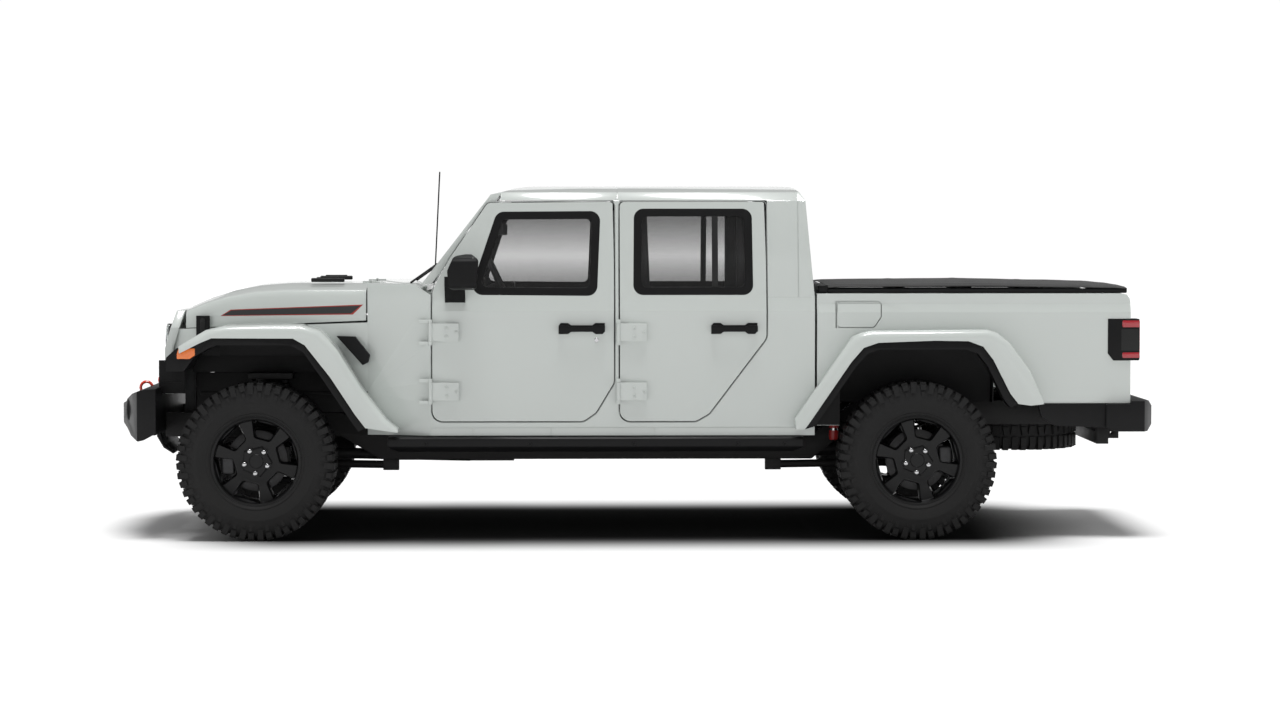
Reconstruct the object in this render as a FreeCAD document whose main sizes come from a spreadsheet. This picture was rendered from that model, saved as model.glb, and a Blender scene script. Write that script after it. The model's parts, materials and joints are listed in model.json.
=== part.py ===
import FreeCAD, Part
import math
import os
import Sketcher
from types import SimpleNamespace

# Lifted off-road pickup with four doors, a short bed and a soft bed cover.
# Millimetres. The origin lies on the ground under the middle of the vehicle, +Z points up,
# the vehicle faces -X and its left side is -Y.

# Driving dimensions
SIZES = {
    # whole vehicle
    "overall_length": 5540, "front_overhang": "=overall_length * 0.14079422",
    "wheelbase": "=overall_length * 0.62960289", "track_width": "=body_half_width * 1.98757764",
    "seat_gap": 0.3, "moving_gap": 8, "overrun": 60,
    # tyres and rims
    "tyre_radius": 419, "tyre_width": 268, "tread_depth": 15, "rim_radius": 237,
    "rim_width": 214, "rim_wall": 14, "window_width_outer": 142, "window_width_inner": 80,
    "window_radius_inner": 120, "window_radius_outer": 204, "hub_bore_radius": 48, "window_turn": 15,
    "cap_radius": 50, "spoke_thickness": 40, "spoke_setback": 34,
    # cab section
    "body_half_width": 805, "roof_edge_half_width": "=body_half_width * 0.86335404", "roof_top": 1873,
    "roof_edge_height": 1790, "belt_height": 1240, "belt_top": 1292, "sill_bottom": 548,
    "floor_top": 600, "door_thickness": 66, "frame_thickness": 46, "roof_thickness": 40,
    # cab stations, measured back from the front axle
    "hood_rear_station": "=overall_length * 0.10270758", "door_station": "=overall_length * 0.16678700",
    "cab_rear_station": "=overall_length * 0.53249097",
    "front_door_length": 961,
    "rear_door_length": "=overall_length * 0.31931408 - front_door_length - pillar_strip",
    "pillar_strip": 32,
    "door_bottom": 624, "door_top": 1785, "door_corner": 75,
    "hinge_outset": 25, "hinge_setback": 9, "hinge_barrel_radius": 11,
    "hinge_barrel_height": 95, "hinge_play": 0.5, "hinge_low": 783, "hinge_high": 1096,
    "hinge_strap_length": 150, "hinge_strap_thickness": 12, "hinge_knuckle": 20,
    "hood_hinge_radius": 6, "hood_hinge_rise": 8, "hood_hinge_length": 40, "hood_hinge_share": 0.35,
    "hood_hinge_sink": 14, "trunnion_radius": 9,
    "seal_width": 42, "seal_depth": 30, "glass_thickness": 6,
    # windshield
    "windshield_base_station": "=door_station - front_door_length * 0.06035378",
    "windshield_top_station": "=door_station + front_door_length * 0.31945894",
    "windshield_base_height": 1350, "windshield_top_height": 1824, "windshield_frame": 53,
    "header_rise": 12,
    # front end
    "hood_front_half_width": "=body_half_width * 0.69565217",
    "hood_rear_half_width": "=body_half_width * 0.86956522", "hood_rear_height": 1348,
    "hood_skin": 28, "nose_height": 1204, "hood_front_setback": "=overall_length * 0.07256318",
    "hood_side_front": 1111, "hood_side_rear": 1155,
    "grille_half_width": "=body_half_width * 0.72670807", "grille_bottom": 760,
    "grille_thickness": "=overall_length * 0.00830325", "grille_kink": 1000,
    "grille_lean": "=overall_length * 0.01028881", "bumper_depth": "=overall_length * 0.04512635",
    "bumper_top": 800,
    "bumper_bottom": 520, "hook_radius": 32, "hook_offset": 400, "skid_half_width": 300,
    "skid_bottom": 416, "fog_radius": 55, "fog_offset": 590, "fog_height": 675,
    "rear_bumper_bottom": 567, "rear_bumper_top": 729, "valance_length": 480,
    "grille_slot_width": 50, "grille_slot_pitch": 74, "grille_slot_bottom": 880,
    "grille_slot_top": 1150, "headlamp_radius": 92, "headlamp_offset": 452,
    "headlamp_height": 1040,
    # flares
    "flare_half_width": "=body_half_width * 1.16770186",
    "front_flare_length": "=overall_length * 0.20722022", "front_flare_bottom": 572,
    "front_flare_top": 1139, "front_flare_lead": "=overall_length * 0.07256318",
    "rear_flare_length": "=overall_length * 0.23790614",
    "rear_flare_bottom": 587, "rear_flare_top": 1112, "rear_flare_lead": "=overall_length * 0.11841155",
    "liner_inset": 8, "liner_thickness": 5, "fender_bottom": 971, "marker_length": 95,
    "marker_bottom": 961, "marker_top": 1017,
    # bed
    "bed_length": "=overall_length * 0.30108303", "bed_gap": 12, "bed_rail_top": 1299, "bed_floor_top": 860,
    "bed_floor_bottom": 800, "bed_wall": 55, "bed_bottom": 716, "bed_front_bottom": 600,
    "tailgate_half_width": "=body_half_width * 0.86956522", "tailgate_thickness": 60,
    "tailgate_bottom": 745,
    "cover_height": 67, "cover_inset": 60, "groove_width": 6, "groove_depth": 4,
    "fuel_door_station": "=overall_length * 0.55433213", "fuel_door_length": 228, "fuel_door_bottom": 1122,
    "fuel_door_top": 1255, "fuel_door_thickness": 14,
    "lamp_length": 169, "lamp_bottom": 943, "lamp_top": 1165, "lamp_depth": 90,
    # chassis
    "radiator_half_width": 360, "radiator_top": 1080, "reservoir_radius": 26, "reservoir_height": 180,
    "rail_outer": 430, "rail_width": 62, "rail_depth": 130, "rail_middle_bottom": 395,
    "rail_front_bottom": 520, "rail_rear_bottom": 585,
    "axle_tube_radius": 42, "differential_radius": 118, "front_differential_offset": 190,
    "kingpin_offset": "=track_width * 0.43125000", "steer_arm_length": 165, "rod_radius": 15,
    "disc_radius": 160, "disc_thickness": 24, "hub_radius": 70,
    "coil_radius": 70, "coil_wire": 8, "shock_radius": 28,
    "rock_rail_bottom": 463, "rock_rail_top": 543, "rock_rail_outer": "=body_half_width * 1.05590062",
    # inside
    "seat_width": 480, "seat_cushion_height": 220, "seat_back_height": 500, "headrest_height": 170,
    "headrest_width": 250, "handle_length": 245, "handle_height": 50, "handle_bar": 17,
    "handle_standoff": 22,
    "steering_wheel_radius": 190, "steering_rim_radius": 15,
    # small parts
    "antenna_height": 672, "antenna_radius": 4, "antenna_lean": 33, "receiver_outer": 64,
    "receiver_bore": 51,
    "receiver_pin_radius": 8, "receiver_length": 130,
}

doc = FreeCAD.newDocument("Pickup")
sheet = doc.addObject("Spreadsheet::Sheet", "Sizes")
for row, (alias, value) in enumerate(SIZES.items(), start=1):
    sheet.set(f"A{row}", alias)
    sheet.set(f"B{row}", str(value))
    sheet.setAlias(f"B{row}", alias)
doc.recompute()
d = SimpleNamespace(**{alias: float(sheet.get(alias)) for alias in SIZES})

# Stations and heights worked out from the driving dimensions
nose_x = -d.overall_length / 2
tail_x = d.overall_length / 2
front_axle_x = nose_x + d.front_overhang
rear_axle_x = front_axle_x + d.wheelbase
axle_z = d.tyre_radius
wheel_y = d.track_width / 2
hood_rear_x = front_axle_x + d.hood_rear_station
hood_front_x = front_axle_x - d.hood_front_setback
grille_back_x = hood_front_x - d.moving_gap
rail_front_x = nose_x + d.bumper_depth + d.seat_gap
door_x = front_axle_x + d.door_station
door_end_x = door_x + d.front_door_length
rear_door_x = door_end_x + d.pillar_strip
rear_door_end_x = rear_door_x + d.rear_door_length
cab_rear_x = front_axle_x + d.cab_rear_station
bed_x = cab_rear_x + d.bed_gap
bed_end_x = bed_x + d.bed_length
door_height = d.door_top - d.door_bottom
hinge_y = d.body_half_width + d.hinge_outset
LEFT = -1
RIGHT = 1
sub_parts = []


# Drawing helpers
def vec(x, y, z):
    return FreeCAD.Vector(x, y, z)


def fused(shapes):
    result = shapes[0]
    if len(shapes) > 1:
        result = shapes[0].multiFuse(shapes[1:])
    return result.removeSplitter()


def block(x_span, y_span, z_span):
    low = vec(min(x_span), min(y_span), min(z_span))
    high = vec(max(x_span), max(y_span), max(z_span))
    size = high - low
    return Part.makeBox(size.x, size.y, size.z, low)


def rounded_wire(points, radius):
    """Closed wire through the points with its corners rounded to one radius or to a list of them."""
    if radius == 0:
        return Part.makePolygon(points + [points[0]])
    radii = radius if isinstance(radius, list) else [radius] * len(points)
    arcs = []
    for index, (corner, wanted) in enumerate(zip(points, radii)):
        back = points[index - 1] - corner
        ahead = points[(index + 1) % len(points)] - corner
        half_angle = back.getAngle(ahead) / 2
        reach = min(wanted / math.tan(half_angle), back.Length * 0.45, ahead.Length * 0.45)
        fitted = reach * math.tan(half_angle)
        back.normalize()
        ahead.normalize()
        inward = (back + ahead).normalize()
        middle = corner + inward * (fitted / math.sin(half_angle) - fitted)
        arcs.append(Part.Arc(corner + back * reach, middle, corner + ahead * reach))
    edges = []
    for index, arc in enumerate(arcs):
        edges.append(arc.toShape())
        following = arcs[(index + 1) % len(arcs)]
        if arc.EndPoint.distanceToPoint(following.StartPoint) > 1e-6:
            edges.append(Part.LineSegment(arc.EndPoint, following.StartPoint).toShape())
    return Part.Wire(edges)


def side_prism(points, y_span, radius=0):
    """Extrude an outline seen from the side (x, z) across the given span of y."""
    low, high = min(y_span), max(y_span)
    wire = rounded_wire([vec(x, low, z) for x, z in points], radius)
    return Part.Face(wire).extrude(vec(0, high - low, 0))


def end_prism(points, x_span, radius=0):
    """Extrude an outline seen from the front (y, z) along the given span of x."""
    low, high = min(x_span), max(x_span)
    wire = rounded_wire([vec(low, y, z) for y, z in points], radius)
    return Part.Face(wire).extrude(vec(high - low, 0, 0))


def plan_prism(points, z_span, radius=0):
    """Extrude an outline seen from above (x, y) over the given span of z."""
    low, high = min(z_span), max(z_span)
    wire = rounded_wire([vec(x, y, low) for x, y in points], radius)
    return Part.Face(wire).extrude(vec(0, 0, high - low))


def in_box(x_span, z_span, shares):
    """Points of an outline given as shares of a box."""
    x_size = x_span[1] - x_span[0]
    z_size = z_span[1] - z_span[0]
    return [(x_span[0] + x_size * a, z_span[0] + z_size * b) for a, b in shares]


def both_sides(half):
    """Mirror a half outline (y, z) that runs from the middle to the outside and back."""
    return half + [(-y, z) for y, z in reversed(half) if y > 0]


def mirrored(shape):
    return shape.mirror(vec(0, 0, 0), vec(0, 1, 0))


def paired(shape):
    """The shape and its mirror image on the other side of the vehicle."""
    return [shape, mirrored(shape)]


def rod(start, end, radius, sides=12):
    """Straight bar of flat facets between two points."""
    axis = end - start
    turns = [2 * math.pi * index / sides for index in range(sides)]
    ring = [vec(radius * math.cos(turn), radius * math.sin(turn), 0) for turn in turns]
    bar = Part.Face(Part.makePolygon(ring + [ring[0]])).extrude(vec(0, 0, axis.Length))
    bar.Placement = FreeCAD.Placement(start, FreeCAD.Rotation(vec(0, 0, 1), axis))
    return bar


def faceted_loft(sections):
    """Solid through sections of equally many points, with flat triangles between them."""
    faces = [Part.Face(Part.makePolygon(end + [end[0]])) for end in (sections[0][::-1], sections[-1])]
    for near, far in zip(sections, sections[1:]):
        for index in range(len(near)):
            following = (index + 1) % len(near)
            faces.append(Part.Face(Part.makePolygon([near[index], near[following], far[index], near[index]])))
            faces.append(Part.Face(Part.makePolygon([near[following], far[following], far[index],
                                                     near[following]])))
    solid = Part.makeSolid(Part.makeShell(faces))
    if solid.Volume < 0:
        solid.reverse()
    return solid


def faceted_ring(profile, sides, centre, turn=0):
    """Ring about the Y axis whose profile (radius, y) is carried round in flat facets."""
    def corner(index, radius, y):
        angle = turn + 2 * math.pi * index / sides
        return centre + vec(radius * math.cos(angle), y, radius * math.sin(angle))
    faces = []
    for row in range(len(profile)):
        near = profile[row - 1]
        far = profile[row]
        for index in range(sides):
            quad = [corner(index, *near), corner(index + 1, *near),
                    corner(index + 1, *far), corner(index, *far)]
            faces.append(Part.Face(Part.makePolygon(quad + [quad[0]])))
    solid = Part.makeSolid(Part.makeShell(faces))
    if solid.Volume < 0:
        solid.reverse()
    return solid


def sub_part(name, shape):
    """Keep a shape made with Part's functions as a sub-part of the document."""
    feature = doc.addObject("Part::Feature", name)
    feature.Label = name
    feature.Shape = shape
    sub_parts.append(feature)
    return feature


def bound(feature, **expressions):
    """Bind a primitive's sizes and place to the sheet."""
    for prop, expression in expressions.items():
        feature.setExpression(prop.replace("_at_", ".Base."), expression)
    return feature


# Cab section: body sides, tumblehome and roof, seen from the front
def cab_outer(x_span):
    half = [(0, d.sill_bottom), (d.body_half_width, d.sill_bottom),
            (d.body_half_width, d.belt_height - d.door_thickness / 2),
            (d.body_half_width - d.hinge_strap_thickness, d.belt_height + d.roof_thickness / 2),
            (d.roof_edge_half_width, d.roof_edge_height),
            (d.roof_edge_half_width - d.frame_thickness, d.roof_edge_height + d.frame_thickness),
            (d.roof_edge_half_width / 2, d.roof_top - d.seal_depth / 5), (0, d.roof_top)]
    return end_prism(both_sides(half), x_span)


def cab_inner(x_span):
    low = d.body_half_width - d.door_thickness
    high = d.roof_edge_half_width - d.frame_thickness
    half = [(0, d.floor_top), (low, d.floor_top), (low, d.belt_height),
            (high, d.roof_edge_height - d.roof_thickness),
            (high - d.frame_thickness, d.roof_edge_height),
            (0, d.roof_top - d.roof_thickness)]
    return end_prism(both_sides(half), x_span)


# Doors
front_door_shares = [(0, 0), (0.832, 0), (0.9, 0.039), (1, 0.176), (1, 1), (0.304, 0.995),
                     (0.095, 0.742), (0.016, 0.624), (0, 0.587)]
rear_door_shares = [(0, 0), (0.519, 0), (0.608, 0.034), (1, 0.379), (1, 1), (0, 1)]
front_window_shares = [(0.201, 0.576), (0.907, 0.571), (0.927, 0.958), (0.355, 0.955)]
rear_window_shares = [(0.091, 0.575), (0.911, 0.575), (0.905, 0.969), (0.097, 0.969)]


def grown(points, distance):
    """Outline moved outward by a distance, for the opening round a panel."""
    wire = Part.makePolygon([vec(x, 0, z) for x, z in points + [points[0]]])
    offset = wire.makeOffset2D(distance, 2)
    corners = [(v.X, v.Z) for v in offset.OrderedVertexes]
    return corners


def corner_radii(points, clearance):
    """Radii of a door's corners, large below the belt and small above it, with a clearance added."""
    return [clearance + (d.door_corner * 0.75 if z < d.belt_height else d.door_corner / 3) for x, z in points]


def door_parts(side, first, length, outline_shares, window_shares):
    """Shell, glass and trim of one door; side is LEFT or RIGHT."""
    last = first + length
    x_span = (first, last)
    z_span = (d.door_bottom, d.door_top)
    y_span = (0, side * (hinge_y + d.overrun))
    outline = in_box(x_span, z_span, outline_shares)
    window = in_box(x_span, z_span, window_shares)
    axis_x = first - d.hinge_setback
    long_span = (first - d.overrun, last + d.overrun)
    skin = cab_outer(long_span).cut(cab_inner(long_span))
    shell = skin.common(side_prism(outline, y_span, corner_radii(outline, 0)))
    swing = last + d.moving_gap - axis_x - d.moving_gap * 0.65
    sweep = Part.makeCylinder(swing, d.roof_top, vec(axis_x, side * hinge_y, 0))
    shell = shell.common(sweep)
    opening = side_prism(window, y_span, d.door_corner * 0.7)
    inner_window = grown(window, -d.seal_width)
    clear_view = side_prism(inner_window, y_span, d.door_corner * 0.4)
    seal_slab = cab_outer(long_span).cut(
        cab_outer(long_span).translated(vec(0, -side * d.seal_depth, 0)))
    seal = seal_slab.common(side_prism(grown(window, -d.seat_gap), y_span, d.door_corner * 0.7))
    seal = seal.cut(clear_view)
    pane_slab = cab_outer(long_span).translated(vec(0, -side * d.seal_depth / 3, 0)).cut(
        cab_outer(long_span).translated(vec(0, -side * (d.seal_depth / 3 + d.glass_thickness), 0)))
    glass = pane_slab.common(side_prism(grown(inner_window, -d.seat_gap), y_span, d.door_corner * 0.4))
    shell = shell.cut(opening)
    straps = []
    for height in (d.hinge_low, d.hinge_high):
        base = height - d.hinge_barrel_height / 2
        barrel = rod(vec(axis_x, side * hinge_y, base),
                     vec(axis_x, side * hinge_y, base + d.hinge_barrel_height), d.hinge_barrel_radius)
        skin_y = side * (d.body_half_width - d.hinge_strap_thickness / 4)
        strap = block((axis_x, axis_x + d.hinge_strap_length),
                      (side * (hinge_y - d.hinge_strap_thickness), side * hinge_y),
                      (base, base + d.hinge_barrel_height))
        foot = block((axis_x + d.hinge_strap_length / 3, axis_x + d.hinge_strap_length),
                     (skin_y, side * hinge_y), (base, base + d.hinge_barrel_height))
        straps += [barrel, strap, foot]
    shell = fused([shell] + straps)
    return shell, glass, seal, grab_handle(side, last)


def grab_handle(side, door_end):
    """Pull handle: a thin plate, two feet and a bar that fingers reach behind."""
    end_x = door_end - d.seal_width - d.hinge_strap_thickness / 2
    start_x = end_x - d.handle_length
    low = d.hinge_high - d.hinge_strap_thickness / 2
    high = low + d.handle_height
    plate_y = d.body_half_width + d.seat_gap
    foot_y = plate_y + d.glass_thickness / 2
    bar_y = foot_y + d.handle_standoff
    lean = d.hinge_strap_thickness
    plate = side_prism([(start_x, low), (end_x - lean, low), (end_x, low + lean), (end_x, high),
                        (start_x + lean, high), (start_x, high - lean)], (side * plate_y, side * foot_y))
    bar = side_prism([(start_x, low + lean), (end_x, low + lean), (end_x, high - lean),
                      (start_x, high - lean)], (side * bar_y, side * (bar_y + d.handle_bar)))
    pieces = [plate, bar]
    for near, far in ((start_x, start_x + d.seal_depth), (end_x - d.seal_depth, end_x)):
        pieces.append(block((near, far), (side * foot_y, side * bar_y), (low + lean, high - lean)))
    return fused(pieces)


def mirror_head(side):
    """Door mirror: head, arm and mounting foot."""
    x_base = door_x + d.seal_width * 1.6
    foot_y = side * (d.body_half_width - d.hinge_strap_thickness)
    head_y = side * (d.body_half_width + d.overrun * 1.1)
    end_y = side * (d.body_half_width + d.overrun * 4.2)
    low = d.belt_top + d.seal_depth * 0.9
    head = end_prism([(head_y, low), (end_y, low + d.seal_depth / 2),
                      (end_y, low + 5.6 * d.seal_depth), (head_y, low + 6.5 * d.seal_depth)],
                     (x_base + 0.6 * d.seal_depth, x_base + 6.2 * d.seal_depth), d.seal_depth)
    head = head.common(side_prism([(x_base + d.seal_depth, low), (x_base + 5.7 * d.seal_depth, low),
                                   (x_base + 6 * d.seal_depth, low + 5.4 * d.seal_depth),
                                   (x_base + 4.6 * d.seal_depth, low + 6.5 * d.seal_depth),
                                   (x_base + 1.8 * d.seal_depth, low + 6 * d.seal_depth),
                                   (x_base + 0.7 * d.seal_depth, low + 3.5 * d.seal_depth)],
                                  (0, side * d.overall_length), d.seal_depth))
    arm = end_prism([(foot_y, d.belt_top - d.seal_depth * 1.4), (head_y, low + d.seal_depth),
                     (head_y, low + 2.4 * d.seal_depth), (foot_y, d.belt_top)],
                    (x_base, x_base + 3.6 * d.seal_depth))
    blend = end_prism([(head_y, low + d.seal_depth), (head_y + side * d.seal_depth, low + d.seal_depth),
                       (head_y + side * d.seal_depth, low + 2.4 * d.seal_depth),
                       (head_y, low + 2.4 * d.seal_depth)],
                      (x_base + d.seal_depth, x_base + 3.6 * d.seal_depth))
    return fused([head, blend, arm])


def build_doors():
    doors = (("front", door_x, d.front_door_length, front_door_shares, front_window_shares),
             ("rear", rear_door_x, d.rear_door_length, rear_door_shares, rear_window_shares))
    for side, hand in ((LEFT, "left"), (RIGHT, "right")):
        for row, first, length, outline, window in doors:
            shell, glass, seal, handle = door_parts(side, first, length, outline, window)
            trim = [seal, handle]
            if row == "front":
                outside = cab_outer((first, first + length))
                trim.append(mirror_head(side).cut(outside))
            sub_part(f"{row}_door_{hand}", shell)
            sub_part(f"{row}_door_glass_{hand}", glass)
            sub_part(f"{row}_door_trim_{hand}", Part.makeCompound(trim))


# Cab
def door_openings(side):
    openings = []
    for first, length, shares in ((door_x, d.front_door_length, front_door_shares),
                                  (rear_door_x, d.rear_door_length, rear_door_shares)):
        outline = in_box((first, first + length), (d.door_bottom, d.door_top), shares)
        opening = grown(outline, d.moving_gap)
        openings.append(side_prism(opening, (side * d.roof_edge_half_width / 2, side * (hinge_y + d.overrun)),
                                   corner_radii(opening, d.moving_gap)))
    return openings


def windshield_plane_points(offset):
    """Two points of the windshield's slope (x, z), moved back by an offset."""
    base = (front_axle_x + d.windshield_base_station + offset, d.windshield_base_height)
    top = (front_axle_x + d.windshield_top_station + offset, d.windshield_top_height)
    return base, top


def build_cab():
    shell_span = (door_x - d.moving_gap, cab_rear_x)
    outer = cab_outer(shell_span)
    inner = cab_inner((door_x + d.seal_depth, cab_rear_x - d.frame_thickness))
    shell = outer.cut(inner)
    for side in (LEFT, RIGHT):
        for opening in door_openings(side):
            shell = shell.cut(opening)
    roof_line = d.door_top + d.moving_gap
    below = block(shell_span, (-hinge_y, hinge_y), (0, d.belt_top - d.hinge_strap_thickness))
    pillar = block((door_end_x, rear_door_x), (-hinge_y, hinge_y), (0, roof_line - d.seat_gap))
    post = block((door_end_x - d.seal_width, rear_door_x + d.seal_width),
                 (d.roof_edge_half_width - 2.2 * d.frame_thickness,
                  d.roof_edge_half_width - d.frame_thickness - d.moving_gap),
                 (d.floor_top, roof_line))
    leaves = []
    for side in (LEFT, RIGHT):
        leaves += hinge_leaves(side, rear_door_x - d.hinge_setback, d.hinge_barrel_radius)
    tub = fused([shell.common(below), shell.common(pillar)] + leaves)
    (base_x, base_z), (top_x, top_z) = windshield_plane_points(0)
    slope = [(base_x - d.overrun, d.sill_bottom), (base_x - d.overrun, base_z), (base_x, base_z),
             (top_x, top_z), (cab_rear_x, d.roof_top + d.overrun), (cab_rear_x, d.sill_bottom)]
    tub = tub.common(side_prism(slope, (-hinge_y, hinge_y)))
    step_z = d.floor_top - d.groove_width
    for side in (LEFT, RIGHT):
        skin_span = (side * (d.body_half_width - d.groove_depth), side * (d.body_half_width + d.overrun))
        tub = tub.cut(block((door_x - d.overrun, cab_rear_x + d.overrun), skin_span,
                            (step_z - d.groove_width, step_z)))
        for along in (0.22, 0.65, 1.22):
            x = door_x + along * d.front_door_length
            tub = tub.cut(block((x, x + d.groove_width), skin_span, (0, step_z)))
    sub_part("cab_tub", tub)
    rear_lean = d.frame_thickness * 1.9
    roof_front = top_x + d.windshield_frame + d.seat_gap
    roof_region = [(roof_front, roof_line), (roof_front, top_z + d.header_rise),
                   (top_x + 3 * d.seal_width, d.roof_top - d.seal_depth / 2),
                   (door_end_x, d.roof_top + d.overrun),
                   (rear_door_end_x, d.roof_top + d.overrun),
                   (cab_rear_x - rear_lean, d.roof_top - d.seal_depth / 2),
                   (cab_rear_x - rear_lean / 2, d.roof_edge_height),
                   (cab_rear_x, d.belt_top - d.hinge_strap_thickness + d.seat_gap),
                   (rear_door_end_x + d.moving_gap, d.belt_top - d.hinge_strap_thickness + d.seat_gap),
                   (rear_door_end_x + d.moving_gap, roof_line)]
    roof_solid = side_prism(roof_region, (-hinge_y, hinge_y))
    hollow = cab_inner((top_x - d.overrun, cab_rear_x - 2 * d.frame_thickness))
    hardtop = outer.common(roof_solid).cut(hollow)
    back_window = end_prism([(-d.roof_edge_half_width * 0.62, d.belt_top + d.seal_width),
                             (d.roof_edge_half_width * 0.62, d.belt_top + d.seal_width),
                             (d.roof_edge_half_width * 0.58, d.roof_edge_height - 2 * d.seal_width),
                             (-d.roof_edge_half_width * 0.58, d.roof_edge_height - 2 * d.seal_width)],
                            (rear_door_end_x + d.overrun * 2, cab_rear_x + d.overrun), d.door_corner / 2)
    hardtop = hardtop.cut(back_window)
    seam_x = door_end_x + d.pillar_strip / 2
    roof_skin = cab_outer((seam_x, seam_x + d.groove_width))
    hardtop = hardtop.cut(roof_skin.cut(roof_skin.translated(vec(0, 0, -d.groove_depth))))
    quarter_x = rear_door_end_x + 4 * d.seal_width
    for side in (LEFT, RIGHT):
        flank = cab_outer((quarter_x, quarter_x + d.groove_width))
        hardtop = hardtop.cut(flank.cut(flank.translated(vec(0, -side * d.groove_depth, 0))))
    sub_part("hardtop", hardtop)
    pane = end_prism([(-d.roof_edge_half_width * 0.62 + d.seat_gap, d.belt_top + d.seal_width + d.seat_gap),
                      (d.roof_edge_half_width * 0.62 - d.seat_gap, d.belt_top + d.seal_width + d.seat_gap),
                      (d.roof_edge_half_width * 0.58 - d.seat_gap,
                       d.roof_edge_height - 2 * d.seal_width - d.seat_gap),
                      (-d.roof_edge_half_width * 0.58 + d.seat_gap,
                       d.roof_edge_height - 2 * d.seal_width - d.seat_gap)],
                     (cab_rear_x - 2 * d.frame_thickness - d.glass_thickness * 2,
                      cab_rear_x + d.overrun), d.door_corner / 2)
    lean_slab = side_prism([(cab_rear_x - d.seal_depth, d.belt_top),
                            (cab_rear_x - d.seal_depth - rear_lean / 2, d.roof_edge_height),
                            (cab_rear_x - d.seal_depth - rear_lean / 2 + d.glass_thickness,
                             d.roof_edge_height),
                            (cab_rear_x - d.seal_depth + d.glass_thickness, d.belt_top)],
                           (-hinge_y, hinge_y))
    back_glass = pane.common(lean_slab)
    frame_solid = windshield_frame()
    sub_part("windshield_frame", frame_solid)
    sub_part("cab_glass", Part.makeCompound([windshield_glass(), back_glass]))


def windshield_outline(inset):
    """Outline of the windshield across the vehicle (y, height along the slope's z)."""
    base_y = d.body_half_width - d.frame_thickness - inset
    top_y = d.roof_edge_half_width - d.frame_thickness / 2 - inset
    low = d.windshield_base_height + inset
    high = d.windshield_top_height + d.header_rise - inset
    return [(-base_y, low), (base_y, low), (top_y, high), (-top_y, high)]


def windshield_slab(depth_front, depth_back):
    (base_x, base_z), (top_x, top_z) = windshield_plane_points(0)
    return side_prism([(base_x + depth_front, base_z), (base_x + depth_back, base_z),
                       (top_x + depth_back, top_z),
                       (top_x + depth_back, top_z + depth_back * d.header_rise / d.windshield_frame),
                       (top_x + depth_front, top_z)],
                      (-d.body_half_width, d.body_half_width))


def windshield_frame():
    x_span = (hood_rear_x, door_end_x)
    slab = windshield_slab(0, d.windshield_frame)
    frame = slab.common(end_prism(windshield_outline(0), x_span))
    frame = frame.cut(end_prism(windshield_outline(d.windshield_frame), x_span, d.seal_depth))
    for side in (LEFT, RIGHT):
        for opening in door_openings(side):
            frame = frame.cut(opening)
    return frame


def windshield_glass():
    x_span = (hood_rear_x, door_end_x)
    slab = windshield_slab(d.glass_thickness, 2 * d.glass_thickness)
    return slab.common(end_prism(windshield_outline(d.windshield_frame + d.seat_gap), x_span, d.seal_depth))


# Hood, front body and grille
def hood_section(x, half_width, low, shoulder, top):
    """Section of the hood across the vehicle: upright sides, rolled shoulders and a raised middle."""
    bulge = half_width * 0.44
    half = [(half_width, low), (half_width - d.glass_thickness, shoulder - d.seal_width),
            (half_width - d.seal_width / 2, shoulder - d.seal_depth / 3),
            (half_width - d.seal_width * 1.5, shoulder), (bulge + d.seal_width, top - d.hinge_strap_thickness),
            (bulge, top - d.glass_thickness / 3), (0, top)]
    return [vec(x, y, z) for y, z in half + [(-y, z) for y, z in reversed(half) if y > 0]]


hood_length_shares = (0, 0.114, 0.231, 0.381, 0.54, 0.76, 1)
hood_top_shares = (0.12, 0.45, 0.7, 0.9, 0.98, 1, 1)
hood_side_shares = (0, 0.114, 0.231, 0.381, 0.54, 0.76, 1)


def hood_loft(inset, x_extend):
    front = hood_front_x
    length = hood_rear_x - front
    sections = []
    for along, rise, side_share in zip(hood_length_shares, hood_top_shares, hood_side_shares):
        x = front + along * length
        if along == 0:
            x += x_extend
        if along == 1:
            x += abs(x_extend)
        half = d.hood_front_half_width + side_share * (
            d.hood_rear_half_width - d.hood_front_half_width) - inset
        top = d.nose_height + rise * (d.hood_rear_height - d.nose_height) - inset
        low = d.hood_side_front + side_share * (d.hood_side_rear - d.hood_side_front) - inset * 2
        shoulder = top - d.hinge_strap_thickness * (1 + rise)
        sections.append(hood_section(x, half, low, shoulder, top))
    return faceted_loft(sections)


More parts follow.
